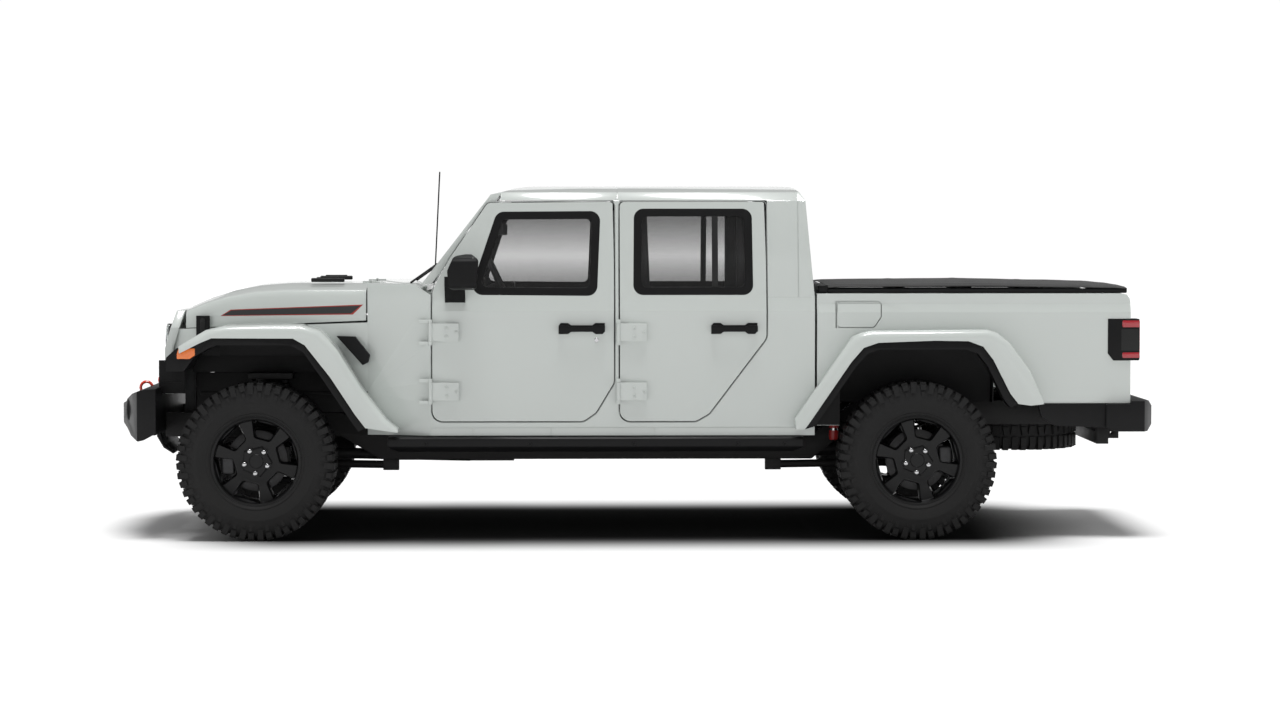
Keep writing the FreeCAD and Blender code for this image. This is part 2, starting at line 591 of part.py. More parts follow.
def build_front():
    outer = hood_loft(0, 0)
    inner = hood_loft(d.hood_skin, d.hood_skin)
    hood = outer.cut(inner)
    hood_knuckles = []
    cowl_knuckles = []
    for side in (LEFT, RIGHT):
        hood_knuckles.append(hood_knuckle(side, 0, -1))
        cowl_knuckles.append(hood_knuckle(side, 1, 1))
    sub_part("hood", fused([hood] + hood_knuckles))
    # cowl side panels and cowl top
    cowl_end = door_x - d.moving_gap
    cowl_front = hood_rear_x + d.moving_gap
    front_half = d.hood_rear_half_width + d.moving_gap
    rear_half = d.body_half_width
    wall = d.door_thickness
    outline = [(cowl_front, front_half), (cowl_end, rear_half), (cowl_end, -rear_half),
               (cowl_front, -front_half)]
    hollow = [(cowl_front - d.overrun, front_half - wall), (cowl_end + d.overrun, rear_half - wall),
              (cowl_end + d.overrun, -rear_half + wall), (cowl_front - d.overrun, -front_half + wall)]
    side_view = [(cowl_front, d.sill_bottom), (cowl_end, d.sill_bottom), (cowl_end, d.belt_top),
                 (door_x + d.windshield_frame - d.hinge_strap_length, d.windshield_base_height - d.seat_gap),
                 (cowl_front, d.hood_rear_height)]
    cowl = plan_prism(outline, (d.sill_bottom, d.roof_top))
    cowl = cowl.common(side_prism(side_view, (-hinge_y, hinge_y)))
    hollow_top = d.windshield_base_height - d.roof_thickness
    cowl = cowl.cut(plan_prism(hollow, (d.sill_bottom - d.overrun, hollow_top)))
    firewall = block((cowl_end - d.frame_thickness, cowl_end),
                     (-rear_half + wall, rear_half - wall), (d.floor_top, hollow_top))
    # fender sides under the hood, from the grille to the cowl
    front_x = grille_back_x - d.grille_lean
    nose_half = d.hood_front_half_width + d.moving_gap
    fender = plan_prism([(front_x, nose_half), (cowl_front, front_half),
                         (cowl_front, front_half - wall / 2), (front_x, nose_half - wall / 2)],
                        (d.sill_bottom, d.roof_top))
    drop_x = front_axle_x + d.tyre_radius + d.moving_gap
    drop_z = d.fender_bottom - 4.6 * d.seal_width
    low_edge = side_prism([(front_x - d.overrun, d.fender_bottom), (drop_x, d.fender_bottom),
                           (drop_x + 2 * d.seal_width, drop_z), (cowl_front + d.overrun, drop_z),
                           (cowl_front + d.overrun, d.hood_side_rear - d.moving_gap),
                           (front_x - d.overrun, d.hood_side_front - d.moving_gap)],
                          (-hinge_y, hinge_y))
    fender = fender.common(low_edge)
    fender = fender.cut(side_prism(grille_outline(d.seat_gap), (-hinge_y, hinge_y)))
    leaves = []
    for side in (LEFT, RIGHT):
        leaves += hinge_leaves(side, door_x - d.hinge_setback, d.overrun)
    body = fused([cowl, firewall, fender, mirrored(fender)] + cowl_knuckles + leaves)
    sub_part("front_body", body)
    build_grille()


def hood_knuckle(side, place, reach):
    """Barrel on the hood's hinge line with a tongue back to its panel; place 0 is the hood's own."""
    axis = vec(hood_rear_x + d.moving_gap / 2, 0, d.hood_rear_height + d.hood_hinge_rise)
    length = d.hood_hinge_length
    y = side * (d.hood_rear_half_width * d.hood_hinge_share) + side * place * (length + d.hinge_play)
    low = min(y, y + side * length)
    barrel = rod(vec(axis.x, low, axis.z), vec(axis.x, low + length, axis.z), d.hood_hinge_radius)
    tongue = block((axis.x, axis.x + reach * d.hinge_barrel_height / 2), (low, low + length),
                   (axis.z - d.hood_hinge_radius - d.hood_hinge_sink, axis.z))
    return fused([barrel, tongue])


def hinge_leaves(side, axis_x, reach):
    """Body halves of a door's two hinges: knuckles above and below each of the door's barrels."""
    leaves = []
    skin_y = side * (d.body_half_width - d.hinge_strap_thickness / 2)
    for height in (d.hinge_low, d.hinge_high):
        base = height - d.hinge_barrel_height / 2
        for low in (base - d.hinge_play - d.hinge_knuckle, base + d.hinge_barrel_height + d.hinge_play):
            leaves.append(rod(vec(axis_x, side * hinge_y, low),
                              vec(axis_x, side * hinge_y, low + d.hinge_knuckle), d.hinge_barrel_radius))
            leaves.append(block((axis_x - reach, axis_x), (skin_y, side * hinge_y),
                                (low, low + d.hinge_knuckle)))
    return leaves


def grille_outline(clearance):
    """Side outline of the grille: sloped above its kink, upright below, grown to the rear."""
    back = grille_back_x + clearance
    top = d.nose_height + clearance
    return [(back, top), (back - d.grille_thickness - clearance, top),
            (back - d.grille_thickness - d.grille_lean - clearance, d.grille_kink),
            (back - d.grille_thickness - d.grille_lean - clearance, d.grille_bottom - clearance),
            (back - d.grille_lean, d.grille_bottom - clearance), (back - d.grille_lean, d.grille_kink)]


def build_grille():
    front_view = [(-d.grille_half_width, d.grille_bottom), (d.grille_half_width, d.grille_bottom),
                  (d.grille_half_width, d.nose_height - 3 * d.seal_depth),
                  (d.grille_half_width - 3 * d.seal_depth, d.nose_height + d.seal_depth),
                  (-d.grille_half_width + 3 * d.seal_depth, d.nose_height + d.seal_depth),
                  (-d.grille_half_width, d.nose_height - 3 * d.seal_depth)]
    x_span = (nose_x, front_axle_x)
    grille = side_prism(grille_outline(0), (-hinge_y, hinge_y)).common(end_prism(front_view, x_span))
    slots = []
    slot_count = 9
    for index in range(slot_count):
        y = (index - (slot_count - 1) / 2) * d.grille_slot_pitch
        half = d.grille_slot_width / 2
        slots.append(end_prism([(y - half, d.grille_slot_bottom), (y + half, d.grille_slot_bottom),
                                (y + half, d.grille_slot_top), (y - half, d.grille_slot_top)],
                               x_span))
    lamps = []
    for side in (LEFT, RIGHT):
        centre = vec(nose_x, side * d.headlamp_offset, d.headlamp_height)
        slots.append(rod(centre, centre + vec(d.overall_length / 4, 0, 0), d.headlamp_radius, 24))
        lens_x = grille_back_x - d.grille_thickness - d.grille_lean
        lamps.append(rod(vec(lens_x, centre.y, centre.z),
                         vec(lens_x + d.grille_thickness - d.seat_gap, centre.y, centre.z),
                         d.headlamp_radius - d.seat_gap, 24))
    grille = grille.cut(Part.makeCompound(slots))
    sub_part("grille", grille)
    sub_part("headlamps", Part.makeCompound(lamps + build_front_bumper()))


# Flares: white outer bands and black liners below them
front_flare_upper_shares = [(0, 0.804), (0.124, 0.952), (0.211, 0.991), (0.383, 1), (0.557, 1),
                            (0.648, 0.944), (0.726, 0.767), (0.831, 0.416), (0.945, 0.122), (1, 0.032)]
front_flare_lower_shares = [(1, 0), (0.853, 0.044), (0.807, 0.166), (0.693, 0.517), (0.578, 0.813),
                            (0.524, 0.875), (0.153, 0.878), (0.098, 0.831), (0.006, 0.737)]
front_lip_inner_shares = [(0.821, 0.01), (0.779, 0.129), (0.665, 0.476), (0.57, 0.748), (0.51, 0.813),
                          (0.176, 0.813), (0.145, 0.79), (0.076, 0.711)]
rear_flare_upper_shares = [(0.009, 0), (0.005, 0.1), (0.061, 0.299), (0.236, 0.93), (0.272, 0.97),
                           (0.311, 0.989), (0.773, 1), (0.813, 0.97), (0.865, 0.869), (0.948, 0.589),
                           (0.992, 0.339), (1, 0.25)]
rear_flare_lower_shares = [(0.948, 0.236), (0.898, 0.253), (0.865, 0.36), (0.797, 0.695), (0.756, 0.829),
                           (0.697, 0.884), (0.562, 0.89), (0.337, 0.869), (0.278, 0.819),
                           (0.228, 0.674), (0.061, 0.063), (0.042, 0)]
lamp_housing_shares = [(-0.007, 0.786), (-0.055, 0.697), (-0.055, 0.571), (0.026, 0.571), (0.076, 0.711),
                       (0.012, 0.79)]
rear_lip_inner_shares = [(0.083, 0.03), (0.25, 0.638), (0.294, 0.758), (0.34, 0.8), (0.689, 0.8),
                         (0.736, 0.758), (0.774, 0.638), (0.841, 0.3), (0.867, 0.215)]


def build_flares():
    front_x_span = (front_axle_x - d.front_flare_lead,
                    front_axle_x - d.front_flare_lead + d.front_flare_length)
    front_z_span = (d.front_flare_bottom, d.front_flare_top)
    rear_x_span = (rear_axle_x - d.rear_flare_lead,
                   rear_axle_x - d.rear_flare_lead + d.rear_flare_length)
    rear_z_span = (d.rear_flare_bottom, d.rear_flare_top)
    inner_rear = d.body_half_width + d.seat_gap
    outer = d.flare_half_width
    # the band's inner edge follows the fender's taper and the cowl's side
    beside = d.moving_gap + d.seat_gap
    taper = plan_prism([(grille_back_x - d.grille_lean, d.hood_front_half_width + beside),
                        (hood_rear_x + d.moving_gap, d.hood_rear_half_width + beside),
                        (door_x - d.moving_gap, d.body_half_width + d.seat_gap),
                        (door_x - d.moving_gap, outer), (grille_back_x - d.grille_lean, outer)],
                       (0, d.roof_top))
    wide_band = side_prism(in_box(front_x_span, front_z_span,
                                  front_flare_upper_shares + front_flare_lower_shares),
                           (d.hood_front_half_width, outer))
    front_band = wide_band.common(taper)
    rear_band = side_prism(in_box(rear_x_span, rear_z_span,
                                  rear_flare_upper_shares + rear_flare_lower_shares),
                           (inner_rear, outer))
    sub_part("flares", Part.makeCompound([front_band, mirrored(front_band),
                                          rear_band, mirrored(rear_band)]))
    lip_front = in_box(front_x_span, front_z_span,
                       list(reversed(front_flare_lower_shares))[:-1] + front_lip_inner_shares)
    lip_rear = in_box(rear_x_span, rear_z_span,
                      list(reversed(rear_flare_lower_shares))[:-1] + rear_lip_inner_shares[::-1])
    liner_front = side_prism(lip_front, (0, outer - d.liner_inset)).common(taper)
    liner_rear = side_prism(lip_rear, (inner_rear, outer - d.liner_inset))
    # lamp housing at the front end of the flare, with a seat for the marker
    housing = side_prism(in_box(front_x_span, front_z_span, lamp_housing_shares),
                         (0, outer - d.liner_inset)).common(taper)
    liner_front = fused([liner_front, housing])
    # skirt that closes the gap between the fender's lower edge and the lip
    skirt_plan = [(grille_back_x - d.grille_lean, d.hood_front_half_width + beside),
                  (hood_rear_x + d.moving_gap, d.hood_rear_half_width + beside),
                  (hood_rear_x + d.moving_gap, d.hood_rear_half_width + beside + d.liner_thickness),
                  (grille_back_x - d.grille_lean, d.hood_front_half_width + beside + d.liner_thickness)]
    skirt = plan_prism(skirt_plan, (d.fender_bottom - d.groove_depth, d.front_flare_top - 2 * d.seal_width))
    skirt = skirt.common(block((front_x_span[0] + 3 * d.overrun, front_axle_x + d.tyre_radius - d.overrun),
                               (0, outer), (0, d.roof_top)))
    liner_front = fused([liner_front, skirt]).cut(front_band).cut(marker_block(RIGHT, d.seat_gap))
    # inner wall of the front wheel house, standing on the spring tower
    wall_y = d.rail_outer + 3 * d.liner_thickness
    wall_z = d.front_flare_top - 5 * d.overrun + d.seal_depth + d.seat_gap
    inner_wall = side_prism([(grille_back_x + d.seal_depth, wall_z), (hood_rear_x - d.overrun, wall_z),
                             (hood_rear_x - d.overrun, d.front_flare_top - 2 * d.overrun),
                             (hood_rear_x - 2 * d.overrun, d.front_flare_top - d.overrun),
                             (grille_back_x + d.seal_depth, d.front_flare_top - d.overrun)],
                            (wall_y, wall_y + d.liner_thickness))
    # lining of the rear wheel house, open below and outside
    house_y = d.body_half_width - 3 * d.bed_wall
    skin = d.liner_thickness
    arch_x = (bed_x + 2 * d.overrun + d.seat_gap, rear_axle_x + d.tyre_radius - d.seat_gap)
    arch_top = d.rear_flare_top - d.overrun - d.seat_gap
    house = block(arch_x, (house_y + d.seat_gap, d.body_half_width - d.bed_wall - d.seat_gap),
                  (d.bed_bottom, arch_top))
    house = house.cut(block((arch_x[0] + skin, arch_x[1] - skin),
                            (house_y + d.seat_gap + skin, outer), (0, arch_top - skin)))
    liners = paired(liner_front) + paired(liner_rear) + paired(inner_wall) + paired(house)
    sub_part("flare_liners", Part.makeCompound(liners))


# Bed with cover, tailgate, fuel door and lamps
gate_axis_x = bed_end_x - d.tailgate_thickness / 2
gate_axis_z = d.tailgate_bottom + d.trunnion_radius * 2


fuel_door_shares = [(0, 0), (0.84, 0), (1, 0.4), (1, 1), (0, 1)]
tail_lamp_shares = [(0, 0.17), (0.17, 0), (1, 0), (1, 1), (0, 1)]
gate_panel_shares = [(0.1, 0.15), (0.9, 0.15), (0.9, 0.7), (0.86, 0.77), (0.14, 0.77), (0.1, 0.7)]
cover_shares = [(0, 0), (1, 0), (1, 0.5), (0.985, 0.7), (0.82, 0.85), (0.5, 1), (0.2, 0.95), (0, 0.85)]


def build_bed():
    half = d.body_half_width
    wall = d.bed_wall
    gate_x = bed_end_x - d.tailgate_thickness - d.moving_gap
    side_view = [(bed_x, d.bed_front_bottom), (bed_x, d.bed_rail_top), (bed_end_x, d.bed_rail_top),
                 (bed_end_x, d.bed_bottom), (rear_axle_x + d.tyre_radius + d.overrun, d.bed_bottom),
                 (rear_axle_x + d.tyre_radius, d.rear_flare_top - d.overrun),
                 (rear_axle_x - d.tyre_radius + 2 * d.overrun, d.rear_flare_top - d.overrun),
                 (bed_x + 2 * d.overrun, d.rear_flare_top - 4.7 * d.overrun),
                 (bed_x + 2 * d.overrun, d.bed_front_bottom)]
    body = side_prism(side_view, (-half, half))
    floor_cut = block((bed_x - d.overrun, bed_end_x + d.overrun), (-half + wall, half - wall),
                      (d.bed_front_bottom - d.overrun, d.bed_floor_bottom))
    load = block((bed_x + wall, bed_end_x + d.overrun), (-half + wall * 2, half - wall * 2),
                 (d.bed_floor_top, d.roof_top))
    inner_arch = block((bed_x + 2 * d.overrun, rear_axle_x + d.tyre_radius), (half - 3 * wall, half - wall),
                       (0, d.rear_flare_top - d.overrun))
    body = body.cut([floor_cut, load] + paired(inner_arch))
    arch_x = (rear_axle_x - d.tyre_radius, rear_axle_x + d.tyre_radius)
    arch_top = d.rear_flare_top - d.overrun
    house_y = half - 3 * wall
    floor = block((bed_x, gate_x), (-half + wall, half - wall), (d.bed_floor_bottom, d.bed_floor_top))
    for side in (LEFT, RIGHT):
        house = block((arch_x[0] - wall, arch_x[1] + wall), (side * (house_y - wall / 2), side * (half - wall)),
                      (d.bed_floor_bottom, arch_top + wall / 2))
        arch = block(arch_x, (side * house_y, side * (half + d.overrun)), (0, arch_top))
        floor = floor.fuse(house).cut(arch)
    body = body.fuse(floor)
    gate_space = block((gate_x, bed_end_x + d.overrun),
                       (-d.tailgate_half_width - d.moving_gap, d.tailgate_half_width + d.moving_gap),
                       (d.tailgate_bottom - d.moving_gap, d.roof_top))
    body = body.cut(gate_space)
    fuel_x = front_axle_x + d.fuel_door_station
    fuel_points = in_box((fuel_x, fuel_x + d.fuel_door_length), (d.fuel_door_bottom, d.fuel_door_top),
                         fuel_door_shares)
    gap_points = grown(fuel_points, d.moving_gap / 1.5)
    recess = side_prism(gap_points, (-half - d.overrun, -half + d.fuel_door_thickness + d.moving_gap),
                        d.door_corner / 4 + d.moving_gap / 1.5)
    pin_room = block((fuel_x - 1.5 * d.moving_gap, fuel_x + 0.6 * d.moving_gap),
                     (-half - d.overrun, -half + d.fuel_door_thickness + d.moving_gap),
                     (d.fuel_door_bottom - d.moving_gap / 1.5, d.fuel_door_top + d.moving_gap / 1.5))
    body = body.cut(recess).cut(pin_room)
    lamp_points = in_box((bed_end_x - d.lamp_length * 0.72, bed_end_x + d.lamp_length * 0.28),
                         (d.lamp_bottom, d.lamp_top), tail_lamp_shares)
    lamp_room = side_prism(lamp_points, (half - d.lamp_depth, half + d.overrun))
    body = body.cut(Part.makeCompound(paired(lamp_room)))
    sub_part("bed", body)
    lamp = side_prism(grown(lamp_points, -d.seat_gap),
                      (half - d.lamp_depth + d.seat_gap, half + d.liner_inset))
    sub_part("tail_lamps", Part.makeCompound(paired(lamp)))
    gate_top = d.bed_rail_top - d.moving_gap
    gate = block((bed_end_x - d.tailgate_thickness, bed_end_x),
                 (-d.tailgate_half_width, d.tailgate_half_width), (d.tailgate_bottom, gate_top))
    panel = end_prism(in_box((-d.tailgate_half_width, d.tailgate_half_width), (d.tailgate_bottom, gate_top),
                             gate_panel_shares), (bed_end_x - d.moving_gap, bed_end_x + d.overrun))
    pull = block((bed_end_x - d.seal_depth, bed_end_x + d.overrun), (-2 * d.overrun, 2 * d.overrun),
                 (gate_top - 1.7 * d.overrun, gate_top - d.seal_width))
    gate = gate.cut(panel).cut(pull)
    pins = []
    for side in (LEFT, RIGHT):
        pins.append(rod(vec(gate_axis_x, side * (d.tailgate_half_width - d.overrun), gate_axis_z),
                        vec(gate_axis_x, side * (half - wall - d.seat_gap), gate_axis_z),
                        d.trunnion_radius))
    sub_part("tailgate", fused([gate] + pins))
    fuel_door = side_prism(fuel_points, (-half, -half + d.fuel_door_thickness), d.door_corner / 4)
    fuel_pin_z = d.fuel_door_bottom - d.moving_gap / 1.5 + d.seat_gap
    pin_y = -half + d.hinge_barrel_radius / 3
    pin = rod(vec(fuel_x, pin_y, fuel_pin_z), vec(fuel_x, pin_y, d.fuel_door_top), d.hinge_barrel_radius / 3)
    sub_part("fuel_door", fused([fuel_door, pin]))
    cover_x = bed_x + d.cover_inset
    cover_end = gate_x - d.moving_gap
    low = d.bed_rail_top + d.seat_gap
    crown = [(-half + d.cover_inset, low), (half - d.cover_inset, low),
             (half - d.cover_inset, low + d.cover_height * 0.5),
             (half - 2 * d.cover_inset, low + d.cover_height * 0.8),
             (0, low + d.cover_height), (-half + 2 * d.cover_inset, low + d.cover_height * 0.8),
             (-half + d.cover_inset, low + d.cover_height * 0.5)]
    length_view = in_box((cover_x, cover_end), (low, low + d.cover_height), cover_shares)
    cover = end_prism(crown, (cover_x, cover_end)).common(side_prism(length_view, (-half, half)))
    front_rail = block((bed_x + d.moving_gap, cover_x + d.moving_gap),
                       (-half + d.cover_inset, half - d.cover_inset), (low, low + d.cover_height * 0.7))
    sub_part("bed_cover", fused([cover, front_rail]))


# Bumpers, hooks, receiver and rock rails
front_bumper_side_shares = [(0, 0.62), (0.2, 0.7), (0.24, 0.76), (0.42, 0.88), (0.7, 0.98), (1, 1),
                            (1, 0.12), (0.9, 0.12), (0.74, 0.03), (0.6, 0), (0.37, 0.07), (0.25, 0.18),
                            (0.02, 0.32)]
front_bumper_plan_shares = [(0, -0.3), (0, 0.3), (0.1, 0.51), (0.6, 1), (1, 1), (1, -1), (0.6, -1), (0.1, -0.51)]
skid_shares = [(0, 1), (0, 0.66), (0.4, 0.24), (1, 0), (1, 0.12), (0.5, 0.34), (0.3, 0.7), (0.3, 1)]
rear_bumper_side_shares = [(0, 0.14), (0.2, 0), (0.87, 0), (1, 0.2), (1, 0.82), (0.9, 1), (0.51, 1),
                           (0.51, 0.9), (0, 0.9)]
valance_shares = [(0, 1), (1, 1), (1, 0.14), (0.25, 0.2), (0.06, 0.5)]
rock_rail_shares = [(0, 0.3), (0.025, 0), (0.975, 0), (1, 0.3), (1, 1), (0, 1)]


def front_bumper_blank(lift):
    """Bumper's side outline carried across and trimmed to its swept plan, raised by a lift."""
    half = d.body_half_width + d.seal_width
    x_span = (nose_x, nose_x + d.bumper_depth)
    side_view = in_box(x_span, (d.bumper_bottom + lift, d.bumper_top + lift), front_bumper_side_shares)
    plan_view = [(nose_x + d.bumper_depth * a, half * b) for a, b in front_bumper_plan_shares]
    return side_prism(side_view, (-half, half)).common(plan_prism(plan_view, (0, d.roof_top)))


def build_front_bumper():
    bumper = front_bumper_blank(0)
    mouth = block((nose_x - d.overrun, nose_x + d.seal_width),
                  (-d.skid_half_width, d.skid_half_width),
                  (d.bumper_bottom + 1.7 * d.overrun, d.bumper_bottom + 2.6 * d.overrun))
    bumper = bumper.cut(mouth)
    lenses = []
    for side in (LEFT, RIGHT):
        pocket_x = nose_x + 2 * d.overrun
        lamp_y = side * d.fog_offset
        bumper = bumper.cut(rod(vec(nose_x - d.overrun, lamp_y, d.fog_height),
                                vec(pocket_x, lamp_y, d.fog_height), d.fog_radius, 16))
        lenses.append(rod(vec(pocket_x - d.seal_depth, lamp_y, d.fog_height),
                          vec(pocket_x - d.seat_gap, lamp_y, d.fog_height),
                          d.fog_radius - d.moving_gap, 16))
    skid_x = (nose_x + 0.74 * d.bumper_depth, nose_x + 1.1 * d.bumper_depth)
    skid = side_prism(in_box(skid_x, (d.skid_bottom, d.bumper_bottom + d.seal_width), skid_shares),
                      (-d.skid_half_width, d.skid_half_width))
    sub_part("front_bumper", fused([bumper, skid]))
    return lenses


def build_bumpers():
    half = d.body_half_width + d.seal_width
    rear_x = (tail_x - d.valance_length * 0.55, tail_x)
    rear_z = (d.rear_bumper_bottom, d.rear_bumper_top)
    rear = side_prism(in_box(rear_x, rear_z, rear_bumper_side_shares), (-half, half))
    plan_view = [(tail_x, -half * 0.84), (tail_x, half * 0.84), (tail_x - d.overrun, half),
                 (rear_x[0], half), (rear_x[0], half - d.door_thickness),
                 (bed_end_x + d.seat_gap, half - d.door_thickness),
                 (bed_end_x + d.seat_gap, -half + d.door_thickness),
                 (rear_x[0], -half + d.door_thickness), (rear_x[0], -half), (tail_x - d.overrun, -half)]
    rear = rear.common(plan_prism(plan_view, (0, d.roof_top)))
    plate_seat = block((tail_x - d.hinge_strap_thickness, tail_x + d.overrun),
                       (-3 * d.overrun, 3 * d.overrun),
                       (d.rear_bumper_bottom + d.seal_depth, d.rear_bumper_top - d.seal_depth))
    rear = rear.cut(plate_seat)
    valance = side_prism(in_box((rear_x[0] - 0.75 * d.valance_length, rear_x[0]),
                                (d.rear_bumper_bottom, d.rear_bumper_top - 0.1 * (rear_z[1] - rear_z[0])),
                                valance_shares),
                         (half - d.door_thickness, half - d.seal_depth))
    sub_part("rear_bumper", fused([rear] + paired(valance)))
    hooks = []
    raised = front_bumper_blank(d.seat_gap)
    wire = d.moving_gap
    section = [(d.hook_radius - wire, 0), (d.hook_radius, -wire), (d.hook_radius + wire, 0),
               (d.hook_radius, wire)]
    for side in (LEFT, RIGHT):
        centre = vec(nose_x + d.bumper_depth * 0.58, side * d.hook_offset,
                     d.bumper_top - d.hook_radius / 2)
        hooks.append(faceted_ring(section, 16, centre).cut(raised))
    sub_part("tow_hooks", Part.makeCompound([max(hook.Solids, key=lambda solid: solid.BoundBox.ZMax)
                                             for hook in hooks]))
    rail_x = (hood_rear_x + d.overrun * 2, cab_rear_x - d.overrun)
    side_view = side_prism(in_box(rail_x, (d.rock_rail_bottom, d.rock_rail_top), rock_rail_shares),
                           (0, d.rock_rail_outer))
    inner = d.rock_rail_outer - 2 * d.seal_width
    end_view = end_prism([(inner, d.rock_rail_bottom), (d.rock_rail_outer - d.seal_depth, d.rock_rail_bottom),
                          (d.rock_rail_outer, d.rock_rail_bottom + d.seal_depth),
                          (d.rock_rail_outer, d.rock_rail_top - d.hinge_strap_thickness),
                          (d.rock_rail_outer - d.hinge_strap_thickness, d.rock_rail_top),
                          (inner, d.rock_rail_top)], rail_x)
    sub_part("rock_rails", Part.makeCompound(paired(side_view.common(end_view))))


# Fittings on the cowl: antenna and wipers
def cowl_fittings():
    foot = vec(door_x - d.windshield_frame, d.body_half_width - d.seal_depth, d.belt_top)
    tip = foot + vec(d.antenna_lean, 0, d.antenna_height)
    fittings = [rod(foot, tip, d.antenna_radius)]
    (base_x, base_z), (top_x, top_z) = windshield_plane_points(0)
    climb = 0.2
    for start_share, end_share in ((0.06, 0.72), (-0.8, -0.1)):
        start = vec(base_x - d.overrun, start_share * d.body_half_width,
                    base_z + d.glass_thickness + d.seat_gap)
        end = vec(base_x + climb * (top_x - base_x) - 3 * d.glass_thickness,
                  end_share * d.body_half_width, base_z + climb * (top_z - base_z))
        fittings.append(rod(start, end, d.glass_thickness))
    return fittings


fender_vent_shares = [(0.66, 0.71), (0.815, 0.7), (0.94, 0.268), (0.925, 0.1), (0.88, 0.04)]


def build_fittings():
    """Hood latches on the fenders, wipers and antenna."""
    low_front = d.hood_side_front
    latch_x = hood_front_x + d.overrun
    latches = []
    for side in (LEFT, RIGHT):
        y = side * (d.hood_front_half_width + d.seal_depth)
        latch_span = (latch_x, latch_x + d.seal_width * 1.7)
        head = block(latch_span, (y, y + side * d.seal_depth * 0.7),
                     (low_front - d.seal_width, low_front + d.seal_width * 1.6))
        foot = block(latch_span, (side * d.hood_front_half_width, y),
                     (low_front - d.seal_width, low_front - d.moving_gap * 1.5))
        latches.append(fused([head, foot]))
    vent = in_box((front_axle_x, hood_rear_x + d.overrun), (d.fender_bottom - d.overrun, d.front_flare_top),
                  fender_vent_shares)
    beside = d.moving_gap + d.seat_gap
    vent_plan = [(front_axle_x, d.hood_front_half_width + beside + 0.4 * (
                     d.hood_rear_half_width - d.hood_front_half_width)),
                 (hood_rear_x + d.overrun, d.hood_rear_half_width + beside + d.moving_gap),
                 (hood_rear_x + d.overrun, d.body_half_width - d.overrun / 2),
                 (front_axle_x, d.hood_front_half_width + 2 * d.overrun)]
    side_vent = side_prism(vent, (0, d.body_half_width)).common(plan_prism(vent_plan, (0, d.roof_top)))
    latches += paired(side_vent)
    carriers = [f.Shape for f in sub_parts if f.Label in ("front_body", "flares", "flare_liners")]
    fittings = [max(piece.cut(carriers).Solids, key=lambda solid: solid.Volume)
                for piece in latches + cowl_fittings()]
    sub_part("body_fittings", Part.makeCompound(fittings))


# Wheels
def tyre(centre, sides):
    base = d.tyre_radius - d.tread_depth
    half = d.tyre_width / 2
    bead = d.rim_width / 2
    profile = [(d.rim_radius + d.seat_gap, -bead + d.rim_wall), (d.rim_radius * 1.38, -half),
               (base, -half * 0.88), (base, half * 0.88), (d.rim_radius * 1.38, half),
               (d.rim_radius + d.seat_gap, bead - d.rim_wall)]
    carcass = faceted_ring(profile, sides, centre)
    lug_half = math.pi * d.tyre_radius / sides * 0.66
    crest = math.sqrt(d.tyre_radius ** 2 - lug_half ** 2)
    section = [(half * 0.36, base - d.tread_depth), (half * 0.36, crest), (half * 0.86, crest),
               (half * 0.99, base - d.tread_depth * 2.4), (half * 0.84, base - d.tread_depth * 2.4)]
    lugs = []
    for index in range(sides):
        hand = 1 if index % 2 == 0 else -1
        angle = 360 * (index + 0.5) / sides
        wire = Part.makePolygon([vec(-lug_half, hand * y, r) for y, r in section + [section[0]]])
        lug = Part.Face(wire).extrude(vec(2 * lug_half, 0, 0))
        lug.rotate(vec(0, 0, 0), vec(0, 1, 0), 90 + angle)
        lug.translate(centre)
        lugs.append(lug)
    return carcass.multiFuse(lugs)


def rim(centre, side, sides):
    """Rim with its outer face towards the given side."""
    out = side * d.rim_width / 2
    barrel_in = d.rim_radius - d.rim_wall * 1.6
    face_y = out - side * d.spoke_setback
    back_y = face_y - side * d.spoke_thickness
    profile = [(d.rim_radius, -out), (d.rim_radius, out), (barrel_in, face_y), (d.hub_bore_radius, face_y),
               (d.hub_bore_radius, back_y), (barrel_in, back_y), (barrel_in, -out)]
    solid = faceted_ring(profile, sides, centre)
    windows = []
    for index in range(6):
        inner, outer = d.window_radius_inner, d.window_radius_outer
        narrow, wide = d.window_width_inner / 2, d.window_width_outer / 2
        wire = Part.makePolygon([vec(-narrow, -d.rim_width, inner), vec(narrow, -d.rim_width, inner),
                                 vec(wide, -d.rim_width, outer), vec(-wide, -d.rim_width, outer),
                                 vec(-narrow, -d.rim_width, inner)])
        window = Part.Face(wire).extrude(vec(0, 2 * d.rim_width, 0))
        window.rotate(vec(0, 0, 0), vec(0, 1, 0), 60 * index + d.window_turn)
        window.translate(centre)
        windows.append(window)
    solid = solid.cut(Part.makeCompound(windows))
    cap = rod(centre + vec(0, back_y, 0), centre + vec(0, face_y + side * d.rim_wall, 0), d.cap_radius, 20)
    return fused([solid, cap])


def build_wheels():
    for side, hand in ((LEFT, "left"), (RIGHT, "right")):
        for row, x in (("front", front_axle_x), ("rear", rear_axle_x)):
            centre = vec(x, side * wheel_y, axle_z)
            sub_part(f"{row}_tyre_{hand}", tyre(centre, 30))
            sub_part(f"{row}_rim_{hand}", rim(centre, side, 30))


# Chassis
def rail_outline():
    """Side outline of one frame rail: low in the middle, raised over both axles."""
    front = rail_front_x
    stations = [(front, d.rail_front_bottom), (front_axle_x + d.tyre_radius, d.rail_front_bottom),
                (hood_rear_x + d.overrun, d.rail_middle_bottom), (bed_x, d.rail_middle_bottom),
                (bed_x + 4 * d.overrun, d.rail_rear_bottom),
                (bed_end_x - d.overrun, d.rail_rear_bottom)]
    return stations + [(x, z + d.rail_depth) for x, z in reversed(stations)]


